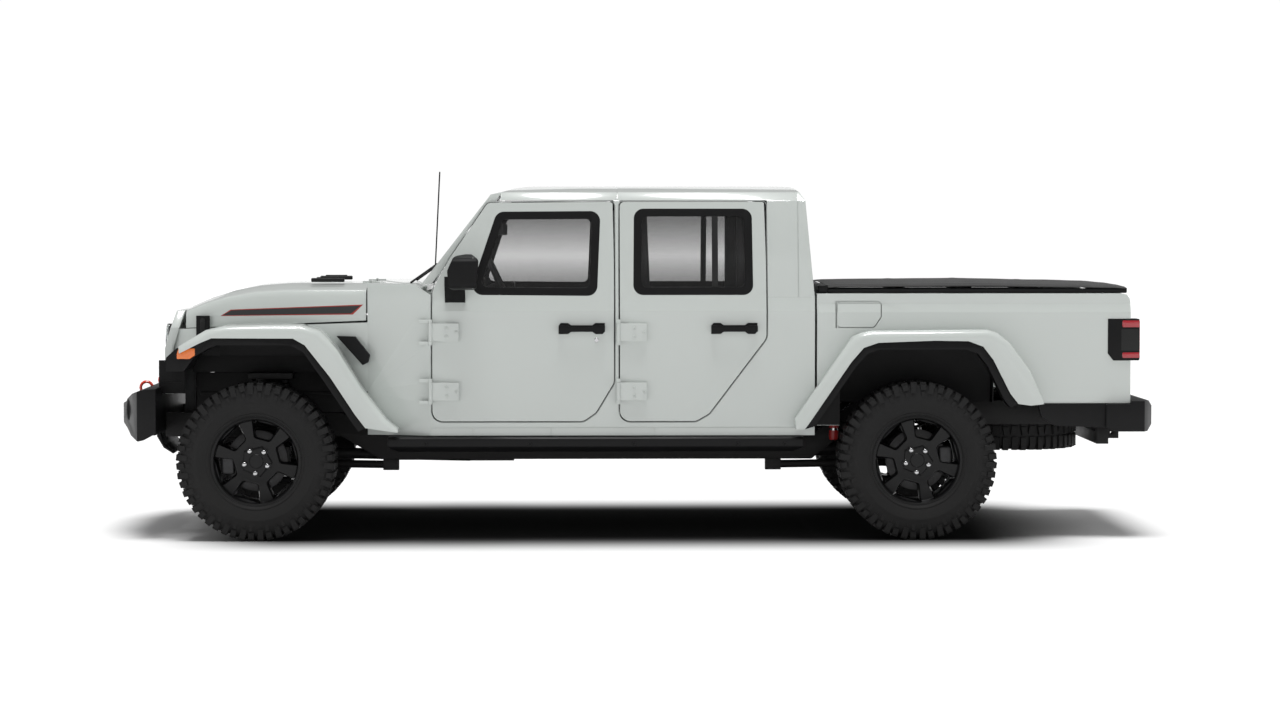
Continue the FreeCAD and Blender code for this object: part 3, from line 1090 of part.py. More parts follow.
def rail_plan():
    """Plan strip of the right rail, spread behind the rear axle round the spare wheel."""
    inner = d.rail_outer - d.rail_width
    spread = d.tyre_radius + d.rail_width / 2 - inner
    front = rail_front_x
    bend = rear_axle_x + d.overrun
    return [(front, inner), (bend, inner), (bend + 2 * d.overrun, inner + spread),
            (bed_end_x, inner + spread), (bed_end_x, d.rail_outer + spread),
            (bend + 2 * d.overrun, d.rail_outer + spread), (bend, d.rail_outer), (front, d.rail_outer)]


def spare_place():
    """Centre of the spare wheel, lying flat between the rear rails."""
    return (rear_axle_x + d.differential_radius * 1.1 + d.moving_gap + d.tyre_radius,
            d.rail_rear_bottom - d.moving_gap * 2)


def build_frame():
    rail = side_prism(rail_outline(), (0, d.body_half_width))
    rail = rail.common(plan_prism(rail_plan(), (0, d.roof_top)))
    rails = Part.makeCompound(paired(rail))
    pieces = []
    inner = d.rail_outer - d.rail_width / 2
    half_depth = d.rail_depth / 2
    cross_places = ((hood_front_x, d.rail_front_bottom, inner),
                    (door_x, d.rail_middle_bottom, inner), (rear_door_x, d.rail_middle_bottom, inner),
                    (cab_rear_x - d.overrun, d.rail_middle_bottom, inner),
                    (bed_end_x - 2 * d.overrun, d.rail_rear_bottom, d.rail_outer))
    for x, bottom, reach in cross_places:
        pieces.append(block((x - d.seal_depth, x + d.seal_depth), (-reach, reach),
                            (bottom + half_depth / 2, bottom + 1.5 * half_depth)))
    for side in (LEFT, RIGHT):
        mount_y = side * (d.rail_outer - d.rail_width / 2)
        for x in (door_x + d.overrun, door_end_x, rear_door_end_x):
            pieces.append(rod(vec(x, mount_y, d.rail_middle_bottom + half_depth),
                              vec(x, mount_y, d.sill_bottom - d.seat_gap), d.seal_width))
        # spring tower over the front axle, and brackets that carry the rock rail
        tower_y = side * (d.rail_outer + 1.5 * d.coil_radius)
        tower_z = d.front_flare_top - 5 * d.overrun
        pieces.append(block((front_axle_x - d.coil_radius, front_axle_x + d.coil_radius * 2.4),
                            (mount_y, tower_y + side * d.coil_radius * 0.8),
                            (tower_z, tower_z + d.seal_depth)))
        pieces.append(block((front_axle_x - d.coil_radius, front_axle_x + d.coil_radius * 2.4),
                            (mount_y - side * d.seal_depth, side * d.rail_outer),
                            (d.rail_front_bottom + half_depth, tower_z + d.seal_depth)))
        shock_x = rear_axle_x - d.tyre_radius
        pieces.append(block((shock_x - d.seal_depth, shock_x + d.seal_depth),
                            (mount_y, tower_y + side * d.seal_depth),
                            (d.rail_rear_bottom, d.rail_rear_bottom + d.seal_depth)))
        for x in (door_x + 2 * d.overrun, rear_door_x, rear_door_end_x):
            pieces.append(block((x - d.seal_depth, x + d.seal_depth),
                                (mount_y, side * (d.rock_rail_outer - 2 * d.seal_width - d.seat_gap)),
                                (d.rock_rail_bottom, d.rock_rail_bottom + d.seal_width)))
    # spare wheel carrier between the rear rails
    spare_x, spare_z = spare_place()
    spare_top = spare_z + d.tyre_width / 2 + d.seat_gap
    carrier_reach = d.rail_outer + d.seal_width
    pieces.append(block((spare_x - d.seal_depth, spare_x + d.seal_depth), (-carrier_reach, carrier_reach),
                        (spare_top, spare_top + d.seal_width)))
    # steering box on the left rail
    box_y = -(d.rail_outer - d.rail_width)
    pieces.append(block((pitman_x - d.overrun, pitman_x + d.overrun),
                        (box_y - d.seal_depth, box_y + 1.6 * d.overrun),
                        (d.rail_front_bottom, d.rail_front_bottom + d.rail_depth)))
    # hitch cross tube under the rear cross-member
    hitch_z = d.front_flare_bottom - d.receiver_outer
    hitch_x = bed_end_x - d.overrun
    tube_half = d.receiver_outer / 2
    tube = block((hitch_x - d.receiver_outer, hitch_x), (-d.rail_outer, d.rail_outer),
                 (hitch_z - tube_half, hitch_z + tube_half))
    pieces.append(tube)
    for side in (LEFT, RIGHT):
        pieces.append(block((hitch_x - d.receiver_outer, hitch_x),
                            (side * d.rail_outer, side * (d.rail_outer + d.seal_width)),
                            (hitch_z - tube_half, d.rail_rear_bottom + half_depth)))
    sub_part("frame", rails)
    members = pieces[0].multiFuse(pieces[1:]).cut(rails).removeSplitter()
    sub_part("frame_members", members)
    return hitch_x, hitch_z


def build_receiver(hitch_x, hitch_z):
    """Hitch receiver as a padded square tube with a socket and a cross hole."""
    body = doc.addObject("PartDesign::Body", "HitchReceiver")
    body.Label = "hitch_receiver"
    plane = next(f for f in body.Origin.OriginFeatures if f.Role == "YZ_Plane")
    outer = body.newObject("Sketcher::SketchObject", "ReceiverOutline")
    outer.AttachmentSupport = (plane, [""])
    outer.MapMode = "FlatFace"
    square_sketch(outer, "Sizes.receiver_outer", d.receiver_outer)
    pad = body.newObject("PartDesign::Pad", "ReceiverTube")
    pad.Profile = outer
    pad.setExpression("Length", "Sizes.receiver_length")
    doc.recompute()
    solid_volume = pad.Shape.Volume
    socket = body.newObject("Sketcher::SketchObject", "ReceiverSocket")
    socket.AttachmentSupport = (plane, [""])
    socket.MapMode = "FlatFace"
    square_sketch(socket, "Sizes.receiver_bore", d.receiver_bore)
    pocket = body.newObject("PartDesign::Pocket", "ReceiverPocket")
    pocket.Profile = socket
    pocket.Type = "ThroughAll"
    pocket.Reversed = True
    side_plane = next(f for f in body.Origin.OriginFeatures if f.Role == "XZ_Plane")
    pin = body.newObject("Sketcher::SketchObject", "PinHole")
    pin.AttachmentSupport = (side_plane, [""])
    pin.MapMode = "FlatFace"
    pin.addGeometry(Part.Circle(vec(d.receiver_length * 0.7, 0, 0), vec(0, 0, 1), d.receiver_pin_radius))
    hole = body.newObject("PartDesign::Pocket", "PinHolePocket")
    hole.Profile = pin
    hole.Type = "ThroughAll"
    hole.Midplane = True
    body.Tip = hole
    doc.recompute()
    if not hole.Shape.Volume < pocket.Shape.Volume < solid_volume:
        raise RuntimeError("a receiver pocket cut nothing")
    body.Placement = FreeCAD.Placement(vec(hitch_x + d.seat_gap, 0, hitch_z), FreeCAD.Rotation())
    sub_parts.append(body)


def square_sketch(sketch, expression, side):
    """Square of one side length, centred on the sketch's origin."""
    half = side / 2
    corners = [vec(-half, -half, 0), vec(half, -half, 0), vec(half, half, 0), vec(-half, half, 0)]
    for index, corner in enumerate(corners):
        sketch.addGeometry(Part.LineSegment(corner, corners[(index + 1) % 4]))
    for index in range(4):
        sketch.addConstraint(Sketcher.Constraint("Coincident", index, 2, (index + 1) % 4, 1))
    for index in (0, 2):
        sketch.addConstraint(Sketcher.Constraint("Horizontal", index))
    for index in (1, 3):
        sketch.addConstraint(Sketcher.Constraint("Vertical", index))
    sketch.addConstraint(Sketcher.Constraint("Symmetric", 0, 1, 2, 1, -1, 1))
    for name, index in (("across", 0), ("upright", 1)):
        number = sketch.addConstraint(Sketcher.Constraint("Distance", index, side))
        sketch.renameConstraint(number, name)
        sketch.setExpression(f"Constraints.{name}", expression)


pitman_x = front_axle_x - d.steer_arm_length + d.seal_depth
tie_x = front_axle_x - d.steer_arm_length
tie_y = d.kingpin_offset
tie_z = axle_z + d.seal_depth
ear_gap = 1.9 * d.seal_width


def build_axles():
    hub_end = wheel_y + d.rim_width / 2 - d.spoke_setback - d.spoke_thickness - d.seat_gap
    tube_end = d.kingpin_offset - 1.3 * d.seal_width
    tube = rod(vec(front_axle_x, -tube_end, axle_z), vec(front_axle_x, tube_end, axle_z),
               d.axle_tube_radius)
    ball = differential(vec(front_axle_x, -d.front_differential_offset, axle_z), d.differential_radius)
    pieces = [tube, ball]
    for side in (LEFT, RIGHT):
        web = block((front_axle_x - d.seal_depth, front_axle_x + d.seal_depth),
                    (side * (tube_end - d.seal_width), side * tube_end),
                    (axle_z - ear_gap - d.seal_depth, axle_z + ear_gap + d.seal_depth))
        pieces.append(web)
        for hand in (-1, 1):
            pieces.append(block((front_axle_x - d.seal_depth, front_axle_x + d.seal_depth),
                                (side * (tube_end - d.seal_width),
                                 side * (d.kingpin_offset + d.seal_depth)),
                                (axle_z + hand * ear_gap, axle_z + hand * (ear_gap + d.seal_depth))))
        perch_y = side * (d.rail_outer + 1.5 * d.coil_radius)
        pieces.append(block((front_axle_x - d.coil_radius, front_axle_x + d.coil_radius * 2.4),
                            (perch_y - d.coil_radius * 0.8, perch_y + d.coil_radius * 0.8),
                            (axle_z + d.seal_depth, axle_z + 2 * d.seal_depth)))
    sub_part("front_axle", fused(pieces))
    for side, hand in ((LEFT, "left"), (RIGHT, "right")):
        sub_part(f"knuckle_{hand}", knuckle(side, hub_end))
    tube_end = d.kingpin_offset + d.seal_depth
    pieces = [rod(vec(rear_axle_x, -hub_end, axle_z), vec(rear_axle_x, hub_end, axle_z),
                  d.axle_tube_radius),
              differential(vec(rear_axle_x, 0, axle_z), d.differential_radius * 1.1)]
    for side in (LEFT, RIGHT):
        pieces += brake(rear_axle_x, side, hub_end)
        perch_y = side * (d.rail_outer + 1.5 * d.coil_radius)
        pieces.append(block((rear_axle_x - d.coil_radius * 2.4, rear_axle_x + d.coil_radius),
                            (perch_y - d.coil_radius * 0.8, perch_y + d.coil_radius * 0.8),
                            (axle_z + d.seal_depth, axle_z + 2 * d.seal_depth)))
    sub_part("rear_axle", fused(pieces))


def differential(centre, radius):
    """Rounded housing round the axle's final drive."""
    core = d.axle_tube_radius * 0.9
    profile = [(core, -radius), (radius * 0.72, -radius * 0.8), (radius, -radius * 0.3),
               (radius, radius * 0.3), (radius * 0.72, radius * 0.8), (core, radius)]
    return faceted_ring(profile, 16, centre)


def brake(x, side, hub_end):
    """Disc, hub and caliper behind one wheel."""
    disc_y = wheel_y - d.seal_width
    disc = rod(vec(x, side * disc_y, axle_z), vec(x, side * (disc_y + d.disc_thickness), axle_z),
               d.disc_radius)
    hub = rod(vec(x, side * (d.kingpin_offset + d.seal_depth / 2), axle_z), vec(x, side * hub_end, axle_z),
              d.hub_radius)
    caliper = block((x + d.disc_radius * 0.62, x + d.disc_radius * 1.06),
                    (side * (disc_y - d.seal_depth), side * (disc_y + d.disc_thickness + d.seal_depth)),
                    (axle_z - d.hub_radius, axle_z + d.hub_radius))
    return [disc, hub, caliper]


def knuckle(side, hub_end):
    king_y = side * d.kingpin_offset
    web_end = ear_gap - d.moving_gap
    upright = block((front_axle_x - d.seal_width, front_axle_x + d.seal_width),
                    (king_y - side * d.seal_depth * 0.8, king_y + side * d.seal_width),
                    (axle_z - web_end, axle_z + web_end))
    pieces = [upright] + brake(front_axle_x, side, hub_end)
    for hand in (-1, 1):
        pieces.append(rod(vec(front_axle_x, king_y, axle_z + hand * (web_end - d.glass_thickness)),
                          vec(front_axle_x, king_y, axle_z + hand * (ear_gap - d.seat_gap)),
                          d.hinge_barrel_radius))
    eye_y = side * tie_y
    arm = plan_prism([(front_axle_x, king_y - side * d.seal_depth * 0.7),
                      (tie_x - d.seal_depth * 0.8, eye_y - side * d.seal_depth * 0.8),
                      (tie_x - d.seal_depth * 0.8, eye_y + side * d.seal_depth * 0.8),
                      (front_axle_x, king_y + side * d.seal_width)],
                     (tie_z - 2 * d.seal_depth, tie_z - d.rod_radius - d.moving_gap / 2))
    return fused(pieces + [arm])


def build_steering():
    pin_z = tie_z - d.rod_radius - d.moving_gap / 2 + d.seat_gap
    ends = [vec(tie_x, side * tie_y, tie_z) for side in (LEFT, RIGHT)]
    pieces = [rod(ends[0], ends[1], d.rod_radius)]
    for end in ends:
        pieces.append(Part.makeCylinder(d.rod_radius * 1.3, tie_z + d.rod_radius - pin_z,
                                        vec(end.x, end.y, pin_z)))
    pitman_eye = vec(pitman_x - d.steer_arm_length, pitman_y, tie_z)
    pieces.append(rod(pitman_eye, ends[1] + vec(0, -d.overrun, 0), d.rod_radius))
    arm_bottom = d.rail_front_bottom - d.seal_depth
    pieces.append(Part.makeCylinder(d.rod_radius * 1.3, arm_bottom - d.seat_gap - tie_z,
                                    vec(pitman_eye.x, pitman_eye.y, tie_z)))
    sub_part("tie_rod", fused(pieces))
    width = d.seal_depth * 0.7
    arm = plan_prism([(pitman_x + width, pitman_y - width), (pitman_x + width, pitman_y + width),
                      (pitman_eye.x - width, pitman_y + width), (pitman_eye.x - width, pitman_y - width)],
                     (arm_bottom, d.rail_front_bottom - d.seat_gap), width / 2)
    sub_part("pitman_arm", arm)
    # steering wheel: rim, hub and three spokes
    centre = vec(steering_x, steering_y, steering_z)
    lean = math.radians(steering_lean)
    axis = vec(math.cos(lean), 0, math.sin(lean))
    ring = faceted_ring([(d.steering_wheel_radius - d.steering_rim_radius, 0),
                         (d.steering_wheel_radius, -d.steering_rim_radius),
                         (d.steering_wheel_radius + d.steering_rim_radius, 0),
                         (d.steering_wheel_radius, d.steering_rim_radius)], 24, vec(0, 0, 0))
    hub = Part.makeCylinder(d.seal_width, d.seal_width, vec(0, -d.seal_width / 2, 0), vec(0, 1, 0))
    wheel = [ring, hub]
    for angle in (0, 180, 270):
        spoke = block((0, d.steering_wheel_radius), (-d.glass_thickness, d.glass_thickness),
                      (-d.seal_depth / 2, d.seal_depth / 2))
        spoke.rotate(vec(0, 0, 0), vec(0, 1, 0), -angle)
        wheel.append(spoke)
    wheel = fused(wheel)
    wheel.rotate(vec(0, 0, 0), vec(0, 0, 1), -90)
    wheel.rotate(vec(0, 0, 0), vec(0, 1, 0), -steering_lean)
    wheel.translate(centre)
    sub_part("steering_wheel", wheel)
    return centre, axis


pitman_y = -(d.rail_outer - d.rail_width - 1.2 * d.overrun)
steering_x = door_x + 0.37 * d.front_door_length
steering_y = -0.47 * d.body_half_width
steering_z = d.belt_top + 1.4 * d.seal_depth
steering_lean = 25


def spring(foot, top, turns):
    """Coil spring drawn as a ribbed sleeve round its axis."""
    height = top - foot.z
    profile = [(d.coil_radius - 2 * d.coil_wire, 0)]
    for turn in range(turns):
        profile.append((d.coil_radius - d.coil_wire, height * turn / turns))
        profile.append((d.coil_radius, height * (turn + 0.5) / turns))
    profile.append((d.coil_radius - d.coil_wire, height))
    profile.append((d.coil_radius - 2 * d.coil_wire, height))
    coil = faceted_ring(profile, 12, vec(0, 0, 0))
    coil.rotate(vec(0, 0, 0), vec(1, 0, 0), 90)
    coil.translate(foot)
    return coil


def build_suspension():
    coils = []
    links = []
    tower_z = d.front_flare_top - 5 * d.overrun
    perch_z = axle_z + 2 * d.seal_depth + d.seat_gap
    for side in (LEFT, RIGHT):
        perch_y = side * (d.rail_outer + 1.5 * d.coil_radius)
        coils.append(spring(vec(front_axle_x, perch_y, perch_z), tower_z - d.seat_gap, 5))
        shock_x = front_axle_x + 1.8 * d.coil_radius
        coils.append(rod(vec(shock_x, perch_y, perch_z), vec(shock_x, perch_y, tower_z - d.seat_gap),
                         d.shock_radius))
        coils.append(spring(vec(rear_axle_x, perch_y, perch_z), d.bed_floor_bottom - d.seat_gap, 4))
        shock_foot = vec(rear_axle_x - 1.9 * d.coil_radius, perch_y, axle_z + d.seal_depth)
        shock_top = vec(rear_axle_x - d.tyre_radius, perch_y, d.rail_rear_bottom + d.seal_depth / 2)
        coils.append(rod(shock_foot, shock_top, d.shock_radius))
        reservoir_y = perch_y + side * (d.shock_radius + d.reservoir_radius + d.seat_gap)
        reservoir_foot = vec(shock_top.x, reservoir_y, shock_top.z - d.reservoir_height / 2)
        coils.append(rod(reservoir_foot, reservoir_foot + vec(0, 0, d.reservoir_height), d.reservoir_radius))
        arm_y = side * (d.rail_outer - d.rail_width / 2)
        links.append(rod(vec(front_axle_x + d.seal_width, arm_y + side * d.seal_depth / 2,
                             axle_z - d.axle_tube_radius),
                         vec(door_x - 4 * d.overrun, arm_y, d.rail_middle_bottom - d.seal_depth),
                         d.seal_width / 2))
        links.append(rod(vec(rear_axle_x - d.seal_width, arm_y + side * d.seal_depth,
                             axle_z - d.axle_tube_radius),
                         vec(rear_door_end_x + d.overrun, arm_y, d.rail_middle_bottom - d.seal_depth),
                         d.seal_width / 2))
        for x in (door_x - 4 * d.overrun, rear_door_end_x + d.overrun):
            links.append(block((x - d.seal_width, x + d.seal_width),
                               (arm_y - d.seal_depth, arm_y + d.seal_depth),
                               (d.rail_middle_bottom - d.seal_width * 1.4, d.rail_middle_bottom - d.seat_gap)))
    carriers = [f.Shape for f in sub_parts if f.Label in ("frame", "frame_members", "front_axle", "rear_axle")]
    coils = [piece.cut(carriers) for piece in coils]
    sub_part("springs_shocks", Part.makeCompound(coils))
    sub_part("suspension_links", Part.makeCompound([fused([arm, bracket]).cut(carriers)
                                                    for arm, bracket in zip(links[0:2] + links[4:6],
                                                                            links[2:4] + links[6:8])]))


def build_powertrain():
    engine = block((front_axle_x - d.hub_radius, hood_rear_x + d.overrun),
                   (-d.rail_outer / 2, d.rail_outer / 2),
                   (d.rail_front_bottom + d.overrun, d.hood_side_rear - d.seal_width))
    box_z = d.sill_bottom - d.seal_width - d.hub_radius
    gearbox = rod(vec(hood_rear_x + d.overrun, 0, box_z), vec(door_x + 3 * d.overrun, 0, box_z),
                  d.hub_radius * 1.1)
    case = block((door_x + 3 * d.overrun, door_x + 7 * d.overrun),
                 (-2.5 * d.overrun, 2 * d.overrun), (box_z - d.hub_radius, box_z + d.hub_radius))
    rear_shaft = rod(vec(door_x + 7 * d.overrun, 0, box_z),
                     vec(rear_axle_x - d.differential_radius * 1.1, 0, axle_z), d.seal_depth)
    front_shaft = rod(vec(door_x + 3 * d.overrun, -d.front_differential_offset / 1.3, box_z - d.seal_width),
                      vec(front_axle_x + d.differential_radius, -d.front_differential_offset, axle_z),
                      d.seal_depth)
    axles = [f.Shape for f in sub_parts if f.Label in ("front_axle", "rear_axle", "frame", "frame_members")]
    neck = block((hood_rear_x - d.seal_depth, hood_rear_x + d.overrun + d.seal_depth),
                 (-d.hub_radius, d.hub_radius), (box_z - d.seal_depth, d.rail_front_bottom + 2 * d.overrun))
    powertrain = fused([engine, gearbox, case, rear_shaft, front_shaft, neck])
    radiator = block((hood_front_x - d.seal_depth, hood_front_x + d.seal_depth),
                     (-d.radiator_half_width, d.radiator_half_width),
                     (d.rail_front_bottom + 0.75 * d.rail_depth + d.seat_gap, d.radiator_top))
    sub_part("powertrain", Part.makeCompound([powertrain.cut(axles), radiator]))
    tank = doc.addObject("Part::Box", "FuelTank")
    tank.Label = "fuel_tank"
    bound(tank, Length="Sizes.rear_door_length * 0.95",
          Width="(Sizes.rail_outer - Sizes.rail_width) * 0.72",
          Height="Sizes.sill_bottom - Sizes.rail_middle_bottom - Sizes.moving_gap")
    mount_edge = d.rail_outer - d.rail_width / 2 - d.seal_width - d.seat_gap
    tank.Placement = FreeCAD.Placement(vec(rear_door_x + d.seal_depth + d.seat_gap, -mount_edge,
                                           d.rail_middle_bottom), FreeCAD.Rotation())
    sub_parts.append(tank)
    pipe_y = d.rail_outer - d.rail_width - d.overrun * 1.5
    pipe_z = d.rail_middle_bottom + d.overrun
    path = [vec(hood_rear_x, pipe_y, pipe_z), vec(cab_rear_x, pipe_y, pipe_z),
            vec(cab_rear_x + 4 * d.overrun, pipe_y, d.bed_floor_bottom - 1.5 * d.overrun),
            vec(rear_axle_x + 2.6 * d.overrun, pipe_y, d.bed_floor_bottom - 1.5 * d.overrun)]
    pipes = [rod(a, b, d.seal_depth) for a, b in zip(path, path[1:])]
    pipes += [rod(point - vec(0, d.seal_depth, 0), point + vec(0, d.seal_depth, 0), d.seal_depth)
              for point in path[1:-1]]
    muffler = rod(vec(rear_door_x, pipe_y, pipe_z), vec(rear_door_end_x, pipe_y, pipe_z), d.overrun * 1.1)
    sub_part("exhaust", fused(pipes + [muffler]).cut(axles))


def build_spare():
    spare = Part.makeCompound([tyre(vec(0, 0, 0), 20), rim(vec(0, 0, 0), RIGHT, 20)])
    spare.rotate(vec(0, 0, 0), vec(1, 0, 0), -90)
    spare_x, spare_z = spare_place()
    spare.translate(vec(spare_x, 0, spare_z))
    sub_part("spare_wheel", spare)


def build_interior():
    seats = []
    floor = d.floor_top + d.seat_gap
    cushion_top = floor + d.seat_cushion_height
    rear_seat_x = cab_rear_x - d.frame_thickness - d.door_corner - 1.35 * d.seat_width
    for x, y, width in ((door_x + 0.5 * d.front_door_length, -steering_y, d.seat_width),
                        (door_x + 0.5 * d.front_door_length, steering_y, d.seat_width),
                        (rear_seat_x, 0, 2.5 * d.seat_width)):
        depth = d.seat_width
        side_view = [(x, floor), (x + depth, floor), (x + depth + d.seal_width, cushion_top),
                     (x + 1.35 * depth, cushion_top + d.seat_back_height),
                     (x + 1.15 * depth, cushion_top + d.seat_back_height),
                     (x + 0.8 * depth, cushion_top), (x, cushion_top)]
        pieces = [side_prism(side_view, (y - width / 2, y + width / 2))]
        rest_low = cushion_top + d.seat_back_height - d.seal_width
        rest_x = x + 1.15 * depth
        places = (y,) if width == d.seat_width else (y - d.seat_width, y + d.seat_width)
        for rest_y in places:
            pieces.append(side_prism([(rest_x, rest_low), (rest_x + 2 * d.seal_width, rest_low),
                                      (rest_x + 2 * d.seal_width, rest_low + d.headrest_height),
                                      (rest_x + d.seal_depth, rest_low + d.headrest_height)],
                                     (rest_y - d.headrest_width / 2, rest_y + d.headrest_width / 2)))
        seats.append(fused(pieces))
    sub_part("seats", Part.makeCompound(seats))
    half = d.body_half_width - d.door_thickness - d.seal_depth
    front = door_x + d.seal_depth + d.seat_gap
    dash = side_prism([(front, d.belt_height * 0.8), (steering_x - 2.4 * d.overrun, d.belt_height * 0.78),
                       (steering_x - 1.6 * d.overrun, d.belt_height),
                       (steering_x - 2.4 * d.overrun, d.belt_top + d.seal_depth), (front, d.belt_top)],
                      (-half, half))
    console = block((front, steering_x + 5 * d.overrun), (-d.overrun * 1.8, d.overrun * 1.8),
                    (floor, d.belt_height * 0.82))
    lean = math.radians(steering_lean)
    axis = vec(math.cos(lean), 0, math.sin(lean))
    centre = vec(steering_x, steering_y, steering_z)
    column = rod(centre - axis * (d.seal_width / 2 + d.seat_gap), centre - axis * 4.5 * d.overrun,
                 d.seal_depth)
    sub_part("dashboard", fused([dash, console, column]))


def marker_block(side, clearance):
    """Amber marker in the end of a front flare, grown by a clearance for its seat."""
    start = front_axle_x - d.front_flare_lead - d.hinge_strap_thickness / 2
    low = d.marker_bottom - clearance
    high = d.marker_top + clearance
    points = [(start - clearance, low), (start + d.marker_length * 0.7, low),
              (start + d.marker_length + clearance, low + d.marker_length * 0.2),
              (start + d.marker_length + clearance, high), (start + d.marker_length * 0.1, high),
              (start - clearance, high - d.marker_length * 0.3)]
    return side_prism(points, (side * (d.flare_half_width - 2 * d.overrun - clearance),
                               side * (d.flare_half_width - d.liner_thickness)))


def build_markers():
    bands = next(f.Shape for f in sub_parts if f.Label == "flares")
    markers = [marker_block(side, 0).cut(bands) for side in (LEFT, RIGHT)]
    sub_part("side_markers", Part.makeCompound(markers))


build_doors()
build_cab()
build_front()
build_flares()
build_markers()
build_fittings()
build_bed()
build_bumpers()
build_wheels()
hitch_place = build_frame()
build_receiver(*hitch_place)
build_axles()
build_steering()
build_suspension()
build_powertrain()
build_spare()
build_interior()

# Check the document, then write every sub-part
doc.recompute()
for obj in doc.Objects:
    if "Invalid" in obj.State or "Error" in obj.State:
        raise RuntimeError(f"{obj.Name} did not build: {obj.State}")
os.makedirs("parts", exist_ok=True)
for feature in sub_parts:
    if feature.Shape.isNull() or not feature.Shape.isValid():
        raise RuntimeError(f"{feature.Label} has no valid shape")
    feature.Shape.exportStep(f"parts/{feature.Label}.step")
print(len(sub_parts), "sub-parts written")
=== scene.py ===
# %% [markdown]
# # A lifted off-road pickup, dressed in Blender
#
# The imported solids give every panel, wheel and joint its place. This lesson adds what solids leave out:
# rounded panel edges, tread blocks, wheel nuts, glass, cloth and finishes. The first cell loads the solids,
# and gives a helper that finds the box that one solid fills. Nothing that follows may grow past it.

# %% Load the imported solids
import json
import math

import bpy
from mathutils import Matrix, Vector


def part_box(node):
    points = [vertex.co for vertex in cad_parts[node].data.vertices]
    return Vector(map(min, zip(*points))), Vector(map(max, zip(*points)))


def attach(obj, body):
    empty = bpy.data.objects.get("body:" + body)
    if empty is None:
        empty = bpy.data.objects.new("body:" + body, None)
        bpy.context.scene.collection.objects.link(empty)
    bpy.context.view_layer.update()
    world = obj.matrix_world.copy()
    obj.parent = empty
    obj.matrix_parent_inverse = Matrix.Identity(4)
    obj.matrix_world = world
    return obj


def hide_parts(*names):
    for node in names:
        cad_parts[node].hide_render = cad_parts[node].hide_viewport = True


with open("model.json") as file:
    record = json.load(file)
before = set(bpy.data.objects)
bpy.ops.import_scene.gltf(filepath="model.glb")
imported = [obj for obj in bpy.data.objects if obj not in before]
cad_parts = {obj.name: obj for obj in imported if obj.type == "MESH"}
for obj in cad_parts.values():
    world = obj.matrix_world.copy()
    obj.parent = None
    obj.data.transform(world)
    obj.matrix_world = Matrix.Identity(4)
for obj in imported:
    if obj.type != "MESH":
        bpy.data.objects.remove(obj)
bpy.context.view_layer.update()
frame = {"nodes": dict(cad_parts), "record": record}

# %% [markdown]
# An operator works on everything that is selected, and the loaded solids arrive selected. So each step
# starts by selecting one piece alone. Edit mode is where faces and edges are moved, and the small helpers
# below go in and out of it and settle a piece's place into its mesh.

# %% Selecting by hand, in code
def select_only(piece):
    """Makes one piece the selected and active one."""
    bpy.ops.object.select_all(action="DESELECT")
    piece.select_set(True)
    bpy.context.view_layer.objects.active = piece


def edit(mode="VERT"):
    """Opens the active piece in edit mode, with all of it selected."""
    bpy.ops.object.mode_set(mode="EDIT")
    bpy.ops.mesh.select_mode(type=mode)
    bpy.ops.mesh.select_all(action="SELECT")


def done():
    """Back to object mode, with the piece that was worked on."""
    bpy.ops.object.mode_set(mode="OBJECT")
    return bpy.context.view_layer.objects.active


def settled(piece):
    """Puts a piece's place, turn and scale into its mesh."""
    select_only(piece)
    bpy.ops.object.transform_apply(location=True, rotation=True, scale=True)
    return piece


def named(name):
    """Names the piece that was just made and settles it."""
    piece = bpy.context.view_layer.objects.active
    piece.name = name
    piece.data.name = name
    return settled(piece)


def pick_faces(piece, test):
    """Opens a piece in edit mode with the faces selected whose middle and normal pass a test."""
    deselected(piece, "FACE")
    for face in piece.data.polygons:
        face.select = bool(test(face.center, face.normal))
    bpy.ops.object.mode_set(mode="EDIT")


def pick_edges(piece, test):
    """Opens a piece in edit mode with the edges selected whose two ends and side faces pass a test."""
    deselected(piece, "EDGE")
    sides = {}
    for face in piece.data.polygons:
        for key in face.edge_keys:
            sides.setdefault(key, []).append(face.normal)
    for line in piece.data.edges:
        ends = [piece.data.vertices[i].co for i in line.vertices]
        line.select = bool(test(ends, sides.get(line.key, [])))
    bpy.ops.object.mode_set(mode="EDIT")


def deselected(piece, mode):
    """Leaves a piece in object mode with nothing of its mesh selected, ready for a kind of pick."""
    select_only(piece)
    edit(mode)
    done()
    for parts in (piece.data.vertices, piece.data.edges, piece.data.polygons):
        for part in parts:
            part.select = False


def bevel(width, steps):
    """Rounds the selected edges and leaves edit mode."""
    bpy.ops.mesh.bevel(offset=width, segments=steps, affect="EDGES")
    return done()


def modified(piece, name, kind, **settings):
    """Adds a modifier with its settings to a piece and applies it."""
    select_only(piece)
    change = piece.modifiers.new(name, kind)
    for setting, value in settings.items():
        setattr(change, setting, value)
    bpy.ops.object.modifier_apply(modifier=change.name)
    return piece


def smooth(degrees):
    """Shades the active piece smooth, but for edges sharper than an angle."""
    bpy.ops.object.shade_smooth_by_angle(angle=math.radians(degrees))


print("helpers ready")

# %% [markdown]
# The camera stands where the photographer stood: far off the left side, a little above the door handles
# and slightly ahead of the middle. A long lens keeps both wheels almost in line. It looks down a little,
# so the pixel that it sees straight ahead lies above and left of the picture's middle.

